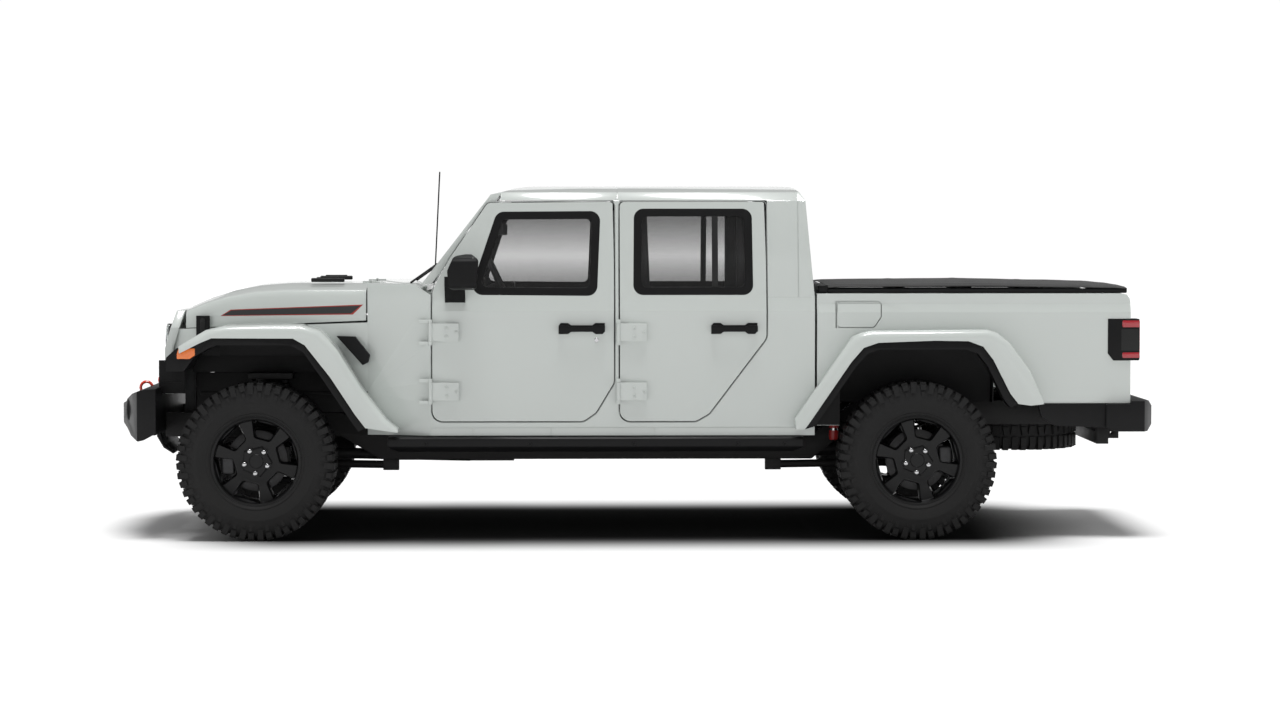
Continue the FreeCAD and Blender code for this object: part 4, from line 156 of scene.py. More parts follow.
# %% Camera
photo_width = 1280
picture_middle = (640, 360)
straight_ahead = (568, 215)
focal_pixels = 3238
camera_data = bpy.data.cameras.new("side_camera")
camera_data.sensor_width = 36
camera_data.lens = focal_pixels / photo_width * camera_data.sensor_width
camera_data.clip_end = 200
camera = bpy.data.objects.new("side_camera", camera_data)
bpy.context.scene.collection.objects.link(camera)
camera.location = (-0.348, -17.93, 1.715)
aside, below = (middle - pixel for middle, pixel in zip(picture_middle, straight_ahead))
sight = Vector((aside / focal_pixels, 1, -below / focal_pixels))
camera.rotation_mode = "QUATERNION"
camera.rotation_quaternion = sight.to_track_quat("-Z", "Y")
bpy.context.scene.camera = camera
print("lens:", round(camera_data.lens, 1), "mm")

# %% [markdown]
# A material is a tree of nodes. A few helpers keep the wiring short: feed sets a node's sockets to plain
# values or links them to other sockets, and add_node adds a node and feeds it at once.

# %% Wiring nodes
def feed(tree, node, inputs):
    """Sets sockets of a node to plain values, or links them to the sockets that are given."""
    for label, value in inputs.items():
        if isinstance(value, bpy.types.NodeSocket):
            tree.links.new(value, node.inputs[label])
        else:
            node.inputs[label].default_value = value


def add_node(tree, kind, inputs, **settings):
    """A shader node of a kind with its settings, fed with values or other sockets."""
    node = tree.nodes.new("ShaderNode" + kind)
    for setting, value in settings.items():
        setattr(node, setting, value)
    feed(tree, node, inputs)
    return node


def product(tree, first, second):
    """The socket of one value times another."""
    return add_node(tree, "Math", {0: first, 1: second}, operation="MULTIPLY").outputs["Value"]


def blend(tree, share, first, second):
    """The socket of a colour between two others."""
    mix = add_node(tree, "Mix", {}, data_type="RGBA")
    feed(tree, mix, {"Factor": share, "A": first, "B": second})
    return mix.outputs["Result"]


def new_material(name, **plain):
    """A material, its tree and its shader; an underscore in a socket's name stands for a space."""
    material = bpy.data.materials.new(name)
    material.use_nodes = True
    shader = material.node_tree.nodes["Principled BSDF"]
    feed(material.node_tree, shader, {socket.replace("_", " "): value for socket, value in plain.items()})
    return material, material.node_tree, shader


def staged(name, material_name, **plain):
    """Makes the piece just added part of the studio, in a dull material; gives its tree and shader."""
    piece = named(name)
    material, tree, shader = new_material(material_name, Roughness=1.0, Specular_IOR_Level=0.0, **plain)
    piece.data.materials.append(material)
    return tree, shader


print("wiring ready")

# %% [markdown]
# A studio car picture has a white floor and most of its light from above: the hood and the roof are
# bright, the doors are a step darker, and a soft dark shade lies under the truck. So a soft sun stands
# almost overhead, the sky adds even light from all around, and a white wall far away closes the
# horizon. Floor and wall both come out as pure white, so no line shows where they meet.

# %% Sky and floor
bpy.context.scene.view_settings.view_transform = "Standard"
world = bpy.data.worlds.new("studio_white")
world.use_nodes = True
feed(world.node_tree, world.node_tree.nodes["Background"], {"Color": (1, 1, 1, 1), "Strength": 0.36})
bpy.context.scene.world = world
bpy.ops.object.select_all(action="DESELECT")
bpy.ops.mesh.primitive_plane_add(size=600, location=(0, 0, 0))
floor_tree, floor_shader = staged("studio_floor", "floor_white")
print("sky and floor ready")

# %% [markdown]
# The shade under the truck is nearly black in the photograph, and it fades out just past the wheels.
# The floor's colour paints that shade in: it darkens inside a soft-edged rectangle under the truck, a painted
# shadow over the real one.

# %% Painted shadow on the floor
# Painted shadow: the floor colour turns from white to near black inside the rectangle under the truck.
floor_light, painted_shadow_dark = (0.97, 0.97, 0.97, 1), (0.03, 0.03, 0.03, 1)
floor_place = add_node(floor_tree, "TexCoord", {}).outputs["Object"]
across = add_node(floor_tree, "SeparateXYZ", {"Vector": floor_place}).outputs
along = add_node(floor_tree, "Math", {0: across["X"]}, operation="ABSOLUTE").outputs["Value"]
shade = 1.0
for source, first, last, low, high in ((along, 1.8, 2.6, 1, 0), (across["Y"], -1.62, -0.8, 0, 1),
                                       (across["Y"], 0.85, 1.7, 1, 0)):
    fade = add_node(floor_tree, "MapRange", {"Value": source, "From Min": first, "From Max": last,
                                             "To Min": low, "To Max": high}, interpolation_type="SMOOTHSTEP")
    shade = product(floor_tree, shade, fade.outputs["Result"])
feed(floor_tree, floor_shader, {"Base Color": blend(floor_tree, shade, floor_light, painted_shadow_dark)})
print("floor shade nodes:", len(floor_tree.nodes))

# %% Wall and overhead sun
bpy.ops.object.select_all(action="DESELECT")
bpy.ops.mesh.primitive_cylinder_add(vertices=96, radius=60, depth=13, end_fill_type="NOTHING",
                                    location=(0, 0, 6.3))
staged("studio_wall", "wall_white", Base_Color=(0, 0, 0, 1), Emission_Color=(1, 1, 1, 1),
       Emission_Strength=1.02)
sun_data = bpy.data.lights.new("overhead_sun", "SUN")
sun_data.energy = 2.45
sun_data.angle = math.radians(25)
overhead_sun = bpy.data.objects.new("overhead_sun", sun_data)
overhead_sun.rotation_euler = (math.radians(5), 0, 0)
bpy.context.scene.collection.objects.link(overhead_sun)

# %% [markdown]
# ## Finishes
#
# Several finishes share the same small effects, so each effect is a node group with named sockets. One
# makes the pebbled skin of moulded plastic, one lets a colour drift a little from place to place, one
# crosses threads, and one lays road dust that fades with height. They read object coordinates, in metres.

# %% Shared effects
def effect_group(name, inputs, outputs):
    """A node group with its sockets, the sockets that its start gives, and the object coordinates."""
    group = bpy.data.node_groups.new(name, "ShaderNodeTree")
    for label, value in inputs.items():
        kind = "NodeSocketColor" if isinstance(value, tuple) else "NodeSocketFloat"
        group.interface.new_socket(name=label, in_out="INPUT", socket_type=kind).default_value = value
    for label, kind in outputs.items():
        group.interface.new_socket(name=label, in_out="OUTPUT", socket_type="NodeSocket" + kind)
    start = group.nodes.new("NodeGroupInput").outputs
    return group, start, add_node(group, "TexCoord", {}).outputs["Object"]


def ended(group, results):
    """Links a group's results to its end."""
    feed(group, group.nodes.new("NodeGroupOutput"), results)
    return group


def moulded_skin_group():
    """Fine pebbled grain as a normal, from a grain size and a depth."""
    group, start, place = effect_group("moulded_skin", {"Grain": 900.0, "Depth": 0.15}, {"Normal": "Vector"})
    pebbles = add_node(group, "TexVoronoi", {"Vector": place, "Scale": start["Grain"]})
    bump = add_node(group, "Bump", {"Distance": 0.001, "Height": pebbles.outputs["Distance"],
                                    "Strength": start["Depth"]})
    return ended(group, {"Normal": bump.outputs["Normal"]})


def drift_group():
    """A colour and a roughness that wander a little over the surface."""
    group, start, place = effect_group(
        "surface_drift", {"Color": (0.5, 0.5, 0.5, 1), "Other": (0.4, 0.4, 0.4, 1), "Size": 4.0,
                          "Smooth": 0.3, "Rough": 0.5}, {"Color": "Color", "Roughness": "Float"})
    noise = add_node(group, "TexNoise", {"Vector": place, "Scale": start["Size"], "Detail": 6})
    cloud = noise.outputs["Fac"]
    rough = add_node(group, "MapRange", {"Value": cloud, "To Min": start["Smooth"], "To Max": start["Rough"]})
    return ended(group, {"Color": blend(group, cloud, start["Color"], start["Other"]),
                         "Roughness": rough.outputs["Result"]})


def weave_group():
    """Crossed threads as a colour and a height, from a thread count for each metre."""
    group, start, place = effect_group(
        "thread_weave", {"Threads": 500.0, "Dark": (0.01, 0.01, 0.01, 1), "Light": (0.03, 0.03, 0.03, 1)},
        {"Color": "Color", "Height": "Float"})
    waves = {"Vector": place, "Scale": start["Threads"], "Distortion": 0.6}
    warp, weft = (add_node(group, "TexWave", waves, bands_direction=way).outputs["Fac"] for way in "XY")
    crossing = product(group, warp, weft)
    return ended(group, {"Color": blend(group, crossing, start["Dark"], start["Light"]), "Height": crossing})


def road_dust_group():
    """A colour that turns to pale dust low down and in patches, from a top height and a strength."""
    group, start, place = effect_group(
        "road_dust", {"Clean": (0.02, 0.02, 0.02, 1), "Dust": (0.16, 0.14, 0.12, 1), "Top": 0.9,
                      "Strength": 0.25}, {"Color": "Color"})
    height = add_node(group, "SeparateXYZ", {"Vector": place}).outputs["Z"]
    low = add_node(group, "MapRange", {"Value": height, "From Max": start["Top"], "To Min": 1, "To Max": 0})
    patches = add_node(group, "TexNoise", {"Vector": place, "Scale": 7, "Detail": 8})
    amount = product(group, low.outputs["Result"], patches.outputs["Fac"])
    amount = product(group, amount, start["Strength"])
    return ended(group, {"Color": blend(group, amount, start["Clean"], start["Dust"])})


skin_effect = moulded_skin_group()
weave_effect = weave_group()
dust_effect = road_dust_group()
drift_effect = drift_group()
print("effects:", skin_effect.name, weave_effect.name, dust_effect.name, drift_effect.name)

# %% [markdown]
# A finish is a Principled shader fed by those groups. The helper takes two close colours, a roughness
# range and, where the surface has a skin, its grain and depth. Numbers that are the same all over, such
# as the clear coat of the paint, are set on the shader itself.

# %% A finish from the shared effects
def finish(name, colour, other, smooth_part, rough_part, size=4.0, grain=None, depth=0.15, dust=0.0, **plain):
    """A material whose colour and roughness drift, with an optional moulded skin and road dust."""
    material, tree, shader = new_material(name, **plain)
    drift = add_node(tree, "Group", {}, node_tree=drift_effect)
    feed(tree, drift, {"Color": (*colour, 1), "Other": (*other, 1), "Size": size, "Smooth": smooth_part,
                       "Rough": rough_part})
    tone = drift.outputs["Color"]
    if dust:
        road = add_node(tree, "Group", {"Clean": tone, "Strength": dust}, node_tree=dust_effect)
        tone = road.outputs["Color"]
    feed(tree, shader, {"Base Color": tone, "Roughness": drift.outputs["Roughness"]})
    if grain:
        skin = add_node(tree, "Group", {"Grain": grain, "Depth": depth}, node_tree=skin_effect)
        feed(tree, shader, {"Normal": skin.outputs["Normal"]})
    return material


white_paint = finish("white_paint", (0.565, 0.6, 0.577), (0.552, 0.587, 0.564), 0.26, 0.32, 1.5,
                     Coat_Weight=0.8, Coat_Roughness=0.05)
black_steel = finish("black_steel", (0.0038, 0.0038, 0.0042), (0.0065, 0.0065, 0.007), 0.38, 0.52, 9,
                     grain=1400, depth=0.08, dust=0.008, Specular_IOR_Level=0.2)
black_plastic = finish("black_plastic", (0.0042, 0.0042, 0.0045), (0.007, 0.007, 0.0074), 0.44, 0.56, 12,
                       grain=1100, depth=0.2, dust=0.006, Specular_IOR_Level=0.18)
tyre_rubber = finish("tyre_rubber", (0.008, 0.008, 0.0085), (0.0125, 0.0125, 0.0125), 0.62, 0.78, 30,
                     grain=1700, depth=0.12, dust=0.04, Specular_IOR_Level=0.28)
rim_black = finish("rim_black", (0.003, 0.003, 0.0032), (0.0046, 0.0046, 0.0049), 0.3, 0.4, 6,
                   Coat_Weight=0.06, Coat_Roughness=0.25, Specular_IOR_Level=0.24)
seal_rubber = finish("seal_rubber", (0.007, 0.007, 0.007), (0.011, 0.011, 0.011), 0.5, 0.62, 40,
                     Specular_IOR_Level=0.35)
axle_paint = finish("axle_paint", (0.006, 0.006, 0.0065), (0.012, 0.0115, 0.0115), 0.46, 0.64, 14,
                    grain=500, depth=0.3, dust=0.04, Specular_IOR_Level=0.26)
cast_metal = finish("cast_metal", (0.04, 0.041, 0.043), (0.022, 0.022, 0.023), 0.5, 0.66, 18,
                    grain=600, depth=0.3, dust=0.1, Metallic=0.6)
exhaust_steel = finish("exhaust_steel", (0.06, 0.056, 0.052), (0.03, 0.025, 0.022), 0.45, 0.65, 10,
                       dust=0.15, Metallic=0.8)
bright_steel = finish("bright_steel", (0.62, 0.62, 0.63), (0.52, 0.52, 0.53), 0.16, 0.26, 20, Metallic=1.0)
disc_steel = finish("disc_steel", (0.045, 0.045, 0.047), (0.028, 0.027, 0.026), 0.4, 0.5, 30, Metallic=1.0)
cast_silver = finish("cast_silver", (0.06, 0.06, 0.062), (0.036, 0.036, 0.037), 0.42, 0.55, 40,
                     grain=900, depth=0.25, Metallic=0.8)
hook_red = finish("hook_red", (0.72, 0.05, 0.018), (0.62, 0.04, 0.015), 0.26, 0.36, 8,
                  Coat_Weight=0.5, Coat_Roughness=0.1)
shock_red = finish("shock_red", (0.36, 0.02, 0.018), (0.28, 0.014, 0.013), 0.3, 0.42, 20)
inside_plastic = finish("inside_plastic", (0.03, 0.03, 0.032), (0.04, 0.04, 0.042), 0.5, 0.62, 8,
                        grain=1000, depth=0.25)
inside_leather = finish("inside_leather", (0.018, 0.018, 0.019), (0.028, 0.028, 0.03), 0.42, 0.56, 25,
                        grain=420, depth=0.45)
# Painted shade: the grey of a white door jamb half in shadow, used for the door seals.
shaded_jamb_grey = finish("shaded_jamb_grey", (0.42, 0.44, 0.43), (0.37, 0.39, 0.38), 0.5, 0.62, 9)
stitch_red = finish("stitch_red", (0.42, 0.03, 0.025), (0.34, 0.02, 0.018), 0.6, 0.75, 80)
decal_black = finish("decal_black", (0.012, 0.012, 0.013), (0.017, 0.017, 0.018), 0.34, 0.44, 6)
decal_red = finish("decal_red", (0.42, 0.03, 0.02), (0.36, 0.024, 0.016), 0.34, 0.44, 6)
mirror_silver = finish("mirror_silver", (0.86, 0.87, 0.88), (0.84, 0.85, 0.86), 0.02, 0.04, 2, Metallic=1.0)
lens_red = finish("lens_red", (0.42, 0.006, 0.018), (0.34, 0.004, 0.012), 0.08, 0.14, 20, Coat_Weight=1.0)
lens_amber = finish("lens_amber", (0.85, 0.2, 0.01), (0.75, 0.14, 0.008), 0.12, 0.2, 30, Coat_Weight=1.0)
print("plain finishes:", len(bpy.data.materials))

# %% [markdown]
# Cloth is different from moulded plastic: it has threads. The weave group crosses two sets of fine
# waves, darkens the holes between the threads and lifts their crowns a little with a bump.

# %% Cloth finishes
def woven(name, dark, light, threads, rough, lift=0.4):
    """A woven cloth of a thread count for each metre."""
    material, tree, shader = new_material(name, Roughness=rough, Sheen_Weight=0.15, Specular_IOR_Level=0.3)
    weave = add_node(tree, "Group", {"Threads": threads, "Dark": (*dark, 1), "Light": (*light, 1)},
                     node_tree=weave_effect).outputs
    bump = add_node(tree, "Bump", {"Strength": lift, "Distance": 0.0006, "Height": weave["Height"]})
    feed(tree, shader, {"Base Color": weave["Color"], "Normal": bump.outputs["Normal"]})
    return material


seat_cloth = woven("seat_cloth", (0.014, 0.014, 0.015), (0.04, 0.04, 0.043), 420, 0.88)
cover_cloth = woven("cover_cloth", (0.004, 0.004, 0.004), (0.008, 0.008, 0.0085), 300, 0.62, 0.25)
print("finishes:", len(bpy.data.materials))

# %% [markdown]
# Glass is plain: transmission one, no metal. The windows carry a grey tint with painted light and shade in
# it: the tint is deepest along the upper and lower edges, a painted shade, and lightest near the middle of
# the height, a painted reflection. A colour ramp over the height does that. The rear windows are a little
# darker than the front ones.

# %% Glass
def clear_pane(name, colour, rough=0.02):
    """A see-through pane of one tint."""
    return finish(name, colour, tuple(c * 0.94 for c in colour), rough, rough, 2,
                  Transmission_Weight=1.0, IOR=1.45)


def reflection_graded_pane(name, tints, strength):
    """A see-through pane whose tint changes with height, a painted reflection, from (height, tint) pairs,
    lowest first.
    """
    material = clear_pane(name, (0.7, 0.7, 0.7))
    tree = material.node_tree
    low, high = tints[0][0], tints[-1][0]
    place = add_node(tree, "TexCoord", {}).outputs["Object"]
    level = add_node(tree, "SeparateXYZ", {"Vector": place}).outputs["Z"]
    share = add_node(tree, "MapRange", {"Value": level, "From Min": low, "From Max": high})
    ramp = add_node(tree, "ValToRGB", {"Fac": share.outputs["Result"]})
    stops = ramp.color_ramp.elements
    while len(stops) < len(tints):
        stops.new(0.5)
    for stop, (height, tint) in zip(stops, tints):
        stop.position = (height - low) / (high - low)
        stop.color = (tint * strength, tint * strength, tint * strength, 1)
    feed(tree, tree.nodes["Principled BSDF"], {"Base Color": ramp.outputs["Color"]})
    return material


# Painted reflection in the glass: lighter across the middle of the window height, darker towards its top and
# bottom.
painted_reflection_tints = [(1.32, 0.46), (1.49, 0.78), (1.69, 0.44)]
front_glass = reflection_graded_pane("front_glass", painted_reflection_tints, 1.0)
rear_glass = reflection_graded_pane("rear_glass", painted_reflection_tints, 0.94)
lamp_glass = clear_pane("lamp_glass", (0.92, 0.94, 0.95))
print("glass ready")

# %% [markdown]
# ## Panels with rounded edges
#
# No pressed or moulded panel has a knife edge: its rim catches a thin line of light. The solids are
# exact but sharp, so each panel is copied, its loose triangles are merged and laid flat again, and every
# sharp edge gets a small bevel. A bevel modifier that looks at the angle does it without picking edges.

# %% Shapes that single panels need
def upper_outer_edge(ends, normals):
    """The edge where a side band turns over to its top."""
    outward = [normal for normal in normals if abs(normal.y) > 0.9]
    upward = [normal for normal in normals if normal.z > 0.3]
    return len(normals) == 2 and outward and upward


def rear_upper_corner(ends, normals):
    """The edge across the upper rear corner of the bed side."""
    rear_x, top_z, shortest = 2.63, 1.28, 0.02
    return all(end.x > rear_x and end.z > top_z for end in ends) and abs(ends[0].y - ends[1].y) > shortest


def sliced(places, axis):
    """Cuts the active piece at places along an axis, 0 for x and 2 for z."""
    for place in places:
        edit("EDGE")
        here, normal = ([value if i == axis else 0 for i in range(3)] for value in (place, 1))
        bpy.ops.mesh.bisect(plane_co=here, plane_no=normal)
        done()


def creased(piece, band):
    """Draws a bed side in above a sloped band."""
    sliced(band, 2)
    for vertex in piece.data.vertices:
        if vertex.co.z > band[1] - 0.001 and abs(vertex.co.y) > 0.8:
            vertex.co.y -= math.copysign(band_depth, vertex.co.y)


def waisted(piece, low, high):
    """Makes a door handle slimmer between two cuts near its ends, and thicker outside them."""
    sliced((low + 0.05, low + 0.066, high - 0.066, high - 0.05), 0)
    for vertex in piece.data.vertices:
        place = vertex.co
        if low - 0.001 < place.x < high + 0.001 and 1.07 < place.z < 1.16:
            inside = low + 0.06 < place.x < high - 0.06
            place.z = handle_z + (place.z - handle_z) * (0.7 if inside else 1.18)


def evenly_shaded(piece):
    """Lets the larger faces set the normals, so that broad panels look flat and only rounds look round."""
    return modified(piece, "even_shading", "WEIGHTED_NORMAL", keep_sharp=True, weight=90)


def crisp(piece, heights):
    """Keeps the shading of a sloped band apart from the faces above and below it."""
    for line in piece.data.edges:
        ends = [piece.data.vertices[i].co for i in line.vertices]
        if any(all(abs(end.z - height) < 0.0008 for end in ends) for height in heights):
            line.use_edge_sharp = True
    evenly_shaded(piece)


band_depth = 0.016
bed_band, cab_band = (1.2, 1.245), (1.207, 1.26)
bands = {"bed": bed_band, "fuel_door": bed_band, "cab_tub": cab_band, "front_door_left": cab_band,
         "rear_door_left": cab_band}
handle_spans = {"front_door_trim_left": (-0.398, -0.153), "rear_door_trim_left": (0.41, 0.655)}
handle_z = 1.115
wide_rounds = {"flares": (upper_outer_edge, 0.042, 5), "bed": (rear_upper_corner, 0.045, 4)}
print("panels with a sloped band:", len(bands))

# %% Rounded copies of the panels
def rounded_panel(node, ending, edge, material, body):
    """A merged copy of a solid with bevelled edges, which stands for that node."""
    piece = frame["nodes"][node].copy()
    piece.data = piece.data.copy()
    piece.parent = None
    for key in list(piece.keys()):
        del piece[key]
    piece.name = piece.data.name = node + ending
    bpy.context.scene.collection.objects.link(piece)
    select_only(piece)
    if piece.data.has_custom_normals:
        bpy.ops.mesh.customdata_custom_splitnormals_clear()
    edit()
    bpy.ops.mesh.remove_doubles(threshold=0.00002)
    bpy.ops.mesh.dissolve_limited(angle_limit=math.radians(0.8))
    done()
    if bands.get(node) == bed_band:
        creased(piece, bed_band)
    if node in handle_spans:
        waisted(piece, *handle_spans[node])
    if node in wide_rounds:
        test, width, steps = wide_rounds[node]
        pick_edges(piece, test)
        bevel(width, steps)
    modified(piece, "rounded_edges", "BEVEL", width=edge, segments=2, limit_method="ANGLE",
             angle_limit=math.radians(32), miter_outer="MITER_ARC")
    smooth(38)
    if node in bands:
        crisp(piece, bands[node])
    piece.data.materials.clear()
    piece.data.materials.append(material)
    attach(piece, body)
    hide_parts(node)
    return piece


body_of_node = {n: b for b, members in frame["record"]["behaviour"]["bodies"].items() for n in members}
edge_of = {
    "cab_tub": 0.004, "hardtop": 0.005, "windshield_frame": 0.003, "hood": 0.004, "front_body": 0.003,
    "grille": 0.003, "flares": 0.006, "flare_liners": 0.003, "bed": 0.004, "tailgate": 0.004,
    "fuel_door": 0.001, "front_bumper": 0.008, "rear_bumper": 0.018, "rock_rails": 0.01, "tow_hooks": 0.002,
    "body_fittings": 0.0015, "frame": 0.004, "frame_members": 0.004, "hitch_receiver": 0.002,
    "suspension_links": 0.002, "tail_lamps": 0.006, "side_markers": 0.003, "exhaust": 0.001,
    "fuel_tank": 0.02, "dashboard": 0.012, "powertrain": 0.004, "front_axle": 0.002, "rear_axle": 0.002,
    "knuckle_left": 0.002, "knuckle_right": 0.002, "tie_rod": 0.001, "pitman_arm": 0.001,
}
own_finish = {
    "tow_hooks": hook_red, "side_markers": lens_amber, "exhaust": exhaust_steel,
    "dashboard": inside_plastic, "powertrain": cast_metal,
}
for material, nodes in ((black_steel, ("front_bumper", "rear_bumper", "rock_rails", "hitch_receiver")),
                        (black_plastic, ("flare_liners", "body_fittings", "tail_lamps", "fuel_tank")),
                        (axle_paint, ("frame", "frame_members", "suspension_links", "front_axle", "rear_axle",
                                      "knuckle_left", "knuckle_right", "tie_rod", "pitman_arm"))):
    own_finish.update(dict.fromkeys(nodes, material))
panel = {}
for node, edge in edge_of.items():
    material = own_finish.get(node, white_paint)
    panel[node] = rounded_panel(node, "_panel", edge, material, body_of_node[node])
print("rounded panels:", len(panel))

# %% [markdown]
# The doors of the two sides are mirror images, so only the left ones are rounded. The right ones are
# copies with every point moved to the other side and every face turned over.

# %% Doors
def mirrored(piece, node, ending, body):
    """A mirror image of a piece on the other side of the truck, which stands for its own node."""
    twin = piece.copy()
    twin.data = piece.data.copy()
    bpy.context.scene.collection.objects.link(twin)
    select_only(twin)
    twin = named(node + ending)
    for vertex in twin.data.vertices:
        vertex.co.y = -vertex.co.y
    edit()
    bpy.ops.mesh.flip_normals()
    done()
    bpy.ops.mesh.customdata_custom_splitnormals_clear()
    evenly_shaded(twin)
    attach(twin, body)
    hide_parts(node)
    return twin


for row in ("front", "rear"):
    for part, ending, edge, material in (("door", "_panel", 0.003, white_paint),
                                         ("door_trim", "_piece", 0.004, black_plastic)):
        left, right = f"{row}_{part}_left", f"{row}_{part}_right"
        panel[left] = rounded_panel(left, ending, edge, material, f"{row}_door_left")
        panel[right] = mirrored(panel[left], right, ending, f"{row}_door_right")
print("door shells and trims:", len([name for name in panel if "door_" in name]))

# %% [markdown]
# The solids whose shape is already right stay as they are and only get a finish: their material slots
# are filled with one of the finishes above.

# %% Finishes on the solids that stay
kept = {"cab_glass": front_glass, "headlamps": lamp_glass}
for hand in ("left", "right"):
    kept[f"front_door_glass_{hand}"] = front_glass
    kept[f"rear_door_glass_{hand}"] = rear_glass
for node, material in kept.items():
    solid = frame["nodes"][node]
    if not solid.material_slots:
        solid.data.materials.append(material)
    for slot in solid.material_slots:
        slot.material = material
print("kept solids:", len(kept))

# %% [markdown]
# ## Tools for new pieces
#
# Most small parts of a truck are one of two kinds: turned, like a nut or a rim, or cut from a block, like
# a bolt plate. A turned piece starts as a circle that is extruded and resized ring by ring. It is made
# at the middle of the scene, pointing up, and then turned and moved to its place. A block starts as a
# cube of the right size in its place, and gets its edges broken.

# %% Turned pieces and blocks
def closed_up(fill=True):
    """Fills the holes of the piece in edit mode, turns its faces outwards and leaves edit mode."""
    if fill:
        bpy.ops.mesh.select_all(action="DESELECT")
        bpy.ops.mesh.select_non_manifold()
        bpy.ops.mesh.fill_holes(sides=0)
    bpy.ops.mesh.select_all(action="SELECT")
    bpy.ops.mesh.normals_make_consistent(inside=False)
    return done()


def turned(name, rings, points=48, place=(0, 0, 0), facing="LEFT", flat=False):
    """A circle extruded ring by ring from (radius, depth) pairs; depth counts towards the facing side."""
    bpy.ops.object.select_all(action="DESELECT")
    bpy.ops.mesh.primitive_circle_add(vertices=points, radius=rings[0][0], fill_type="NOTHING",
                                      location=(0, 0, 0))
    edit("EDGE")
    bpy.ops.transform.translate(value=(0, 0, rings[0][1]))
    for (last_radius, last_depth), (radius, depth) in zip(rings, rings[1:]):
        bpy.ops.mesh.extrude_edges_move(TRANSFORM_OT_translate={"value": (0, 0, depth - last_depth)})
        share = radius / last_radius
        bpy.ops.transform.resize(value=(share, share, 1), center_override=(0, 0, 0))
    bpy.ops.mesh.select_all(action="SELECT")
    closed = rings[0] == rings[-1]
    if closed:
        bpy.ops.mesh.remove_doubles(threshold=0.00001)
    piece = closed_up(fill=not closed)
    turn = {"LEFT": (math.pi / 2, 0, 0), "RIGHT": (-math.pi / 2, 0, 0), "FRONT": (0, -math.pi / 2, 0),
            "REAR": (0, math.pi / 2, 0), "UP": (0, 0, 0), "DOWN": (math.pi, 0, 0)}
    piece.rotation_euler = turn[facing]
    piece.location = place
    piece = named(name)
    if not flat:
        smooth(35)
    return piece


def block(name, x, y, z, edge=0.002, steps=2):
    """A block between two places along each axis, with broken edges."""
    bpy.ops.object.select_all(action="DESELECT")
    size = [abs(span[1] - span[0]) for span in (x, y, z)]
    middle = [(span[1] + span[0]) / 2 for span in (x, y, z)]
    bpy.ops.mesh.primitive_cube_add(size=1, location=middle)
    bpy.context.view_layer.objects.active.scale = size
    piece = named(name)
    if edge:
        edit("EDGE")
        bevel(edge, steps)
        smooth(38)
    return piece


def about(middle, half):
    """The two places that lie a half width to both sides of a middle."""
    return middle - half, middle + half


def scale_faces(piece, test, value, **centre):
    """Scales the faces of a piece whose middle and normal pass a test."""
    pick_faces(piece, test)
    bpy.ops.transform.resize(value=value, **centre)
    return done()


def shift_faces(piece, test, value):
    """Moves the faces of a piece whose middle and normal pass a test."""
    pick_faces(piece, test)
    bpy.ops.transform.translate(value=value)
    return done()


def joined(pieces, name):
    """Several pieces as one, under a new name."""
    bpy.ops.object.select_all(action="DESELECT")
    for piece in pieces:
        piece.select_set(True)
    bpy.context.view_layer.objects.active = pieces[0]
    if len(pieces) > 1:
        bpy.ops.object.join()
    return named(name)


def around(piece, copies):
    """Repeats a piece round the y axis inside its own mesh."""
    select_only(piece)
    edit()
    bpy.ops.mesh.spin(steps=copies - 1, dupli=True, angle=2 * math.pi * (copies - 1) / copies,
                      center=(0, 0, 0), axis=(0, 1, 0), use_auto_merge=False)
    return done()


def turn_about(piece, angle, axis="Y"):
    """Turns a piece about one of the scene's axes, in its own mesh."""
    piece.rotation_euler = [angle if letter == axis else 0 for letter in "XYZ"]
    return settled(piece)


def pointed(piece, direction, place):
    """Turns a piece so that its z axis points along a direction, and puts it in its place."""
    piece.rotation_mode = "QUATERNION"
    piece.rotation_quaternion = direction.to_track_quat("Z", "Y")
    piece.location = place
    return settled(piece)


def copied(piece, name, shift=(0, 0, 0), flip=False):
    """A copy with its own mesh, moved by a shift, or flipped to the other side of the truck first."""
    select_only(piece)
    bpy.ops.object.duplicate()
    twin = bpy.context.view_layer.objects.active
    if flip:
        twin.scale = (1, -1, 1)
        settled(twin)
        edit()
        closed_up(fill=False)
    twin.location = shift
    return named(name)


def finished(piece, material, body, slot, *nodes):
    """Gives a piece its finish, the body it rides on and the solids it replaces; the slot argument is not
    used.
    """
    piece.data.materials.clear()
    piece.data.materials.append(material)
    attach(piece, body)
    if nodes:
        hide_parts(*nodes)
    return piece


def trim_part(pieces, name, material, slot, body="chassis"):
    """Joins pieces into one finished part, which rides on the chassis or another body."""
    return finished(joined(pieces, name), material, body, slot)


sides = {"left": -1, "right": 1}
facings = {"left": "LEFT", "right": "RIGHT"}
print("tools ready")

# %% [markdown]
# ## Mud tyres
#
# A mud tyre is a smooth carcass with big rubber blocks. The carcass is turned from its bead, over the
# bulging sidewall, to the tread floor and back. One pitch of the tread is then built from blocks: two
# staggered centre blocks, a long and a short shoulder block, and the small biters that run down the
# sidewall. Spinning that one pitch in copies round the axle gives the whole tread.

# %% Carcass
tyre_radius = 0.419
tyre_rings = [(0.238, 0.107), (0.244, 0.115), (0.252, 0.1185), (0.257, 0.1165), (0.264, 0.119),
              (0.285, 0.127), (0.308, 0.13), (0.312, 0.1312), (0.316, 0.13), (0.335, 0.1305),
              (0.362, 0.128), (0.383, 0.122), (0.396, 0.113), (0.403, 0.098), (0.405, 0.06),
              (0.405, 0.0)]
mirror_rings = [(radius, -depth) for radius, depth in reversed(tyre_rings[:-1])]
carcass = turned("tyre_carcass", tyre_rings + mirror_rings + [tyre_rings[0]], points=104)
print("carcass faces:", len(carcass.data.polygons))

# %% One pitch of the tread
pitches = 26
half_pitch = math.pi * tyre_radius / pitches
crest = 0.4165


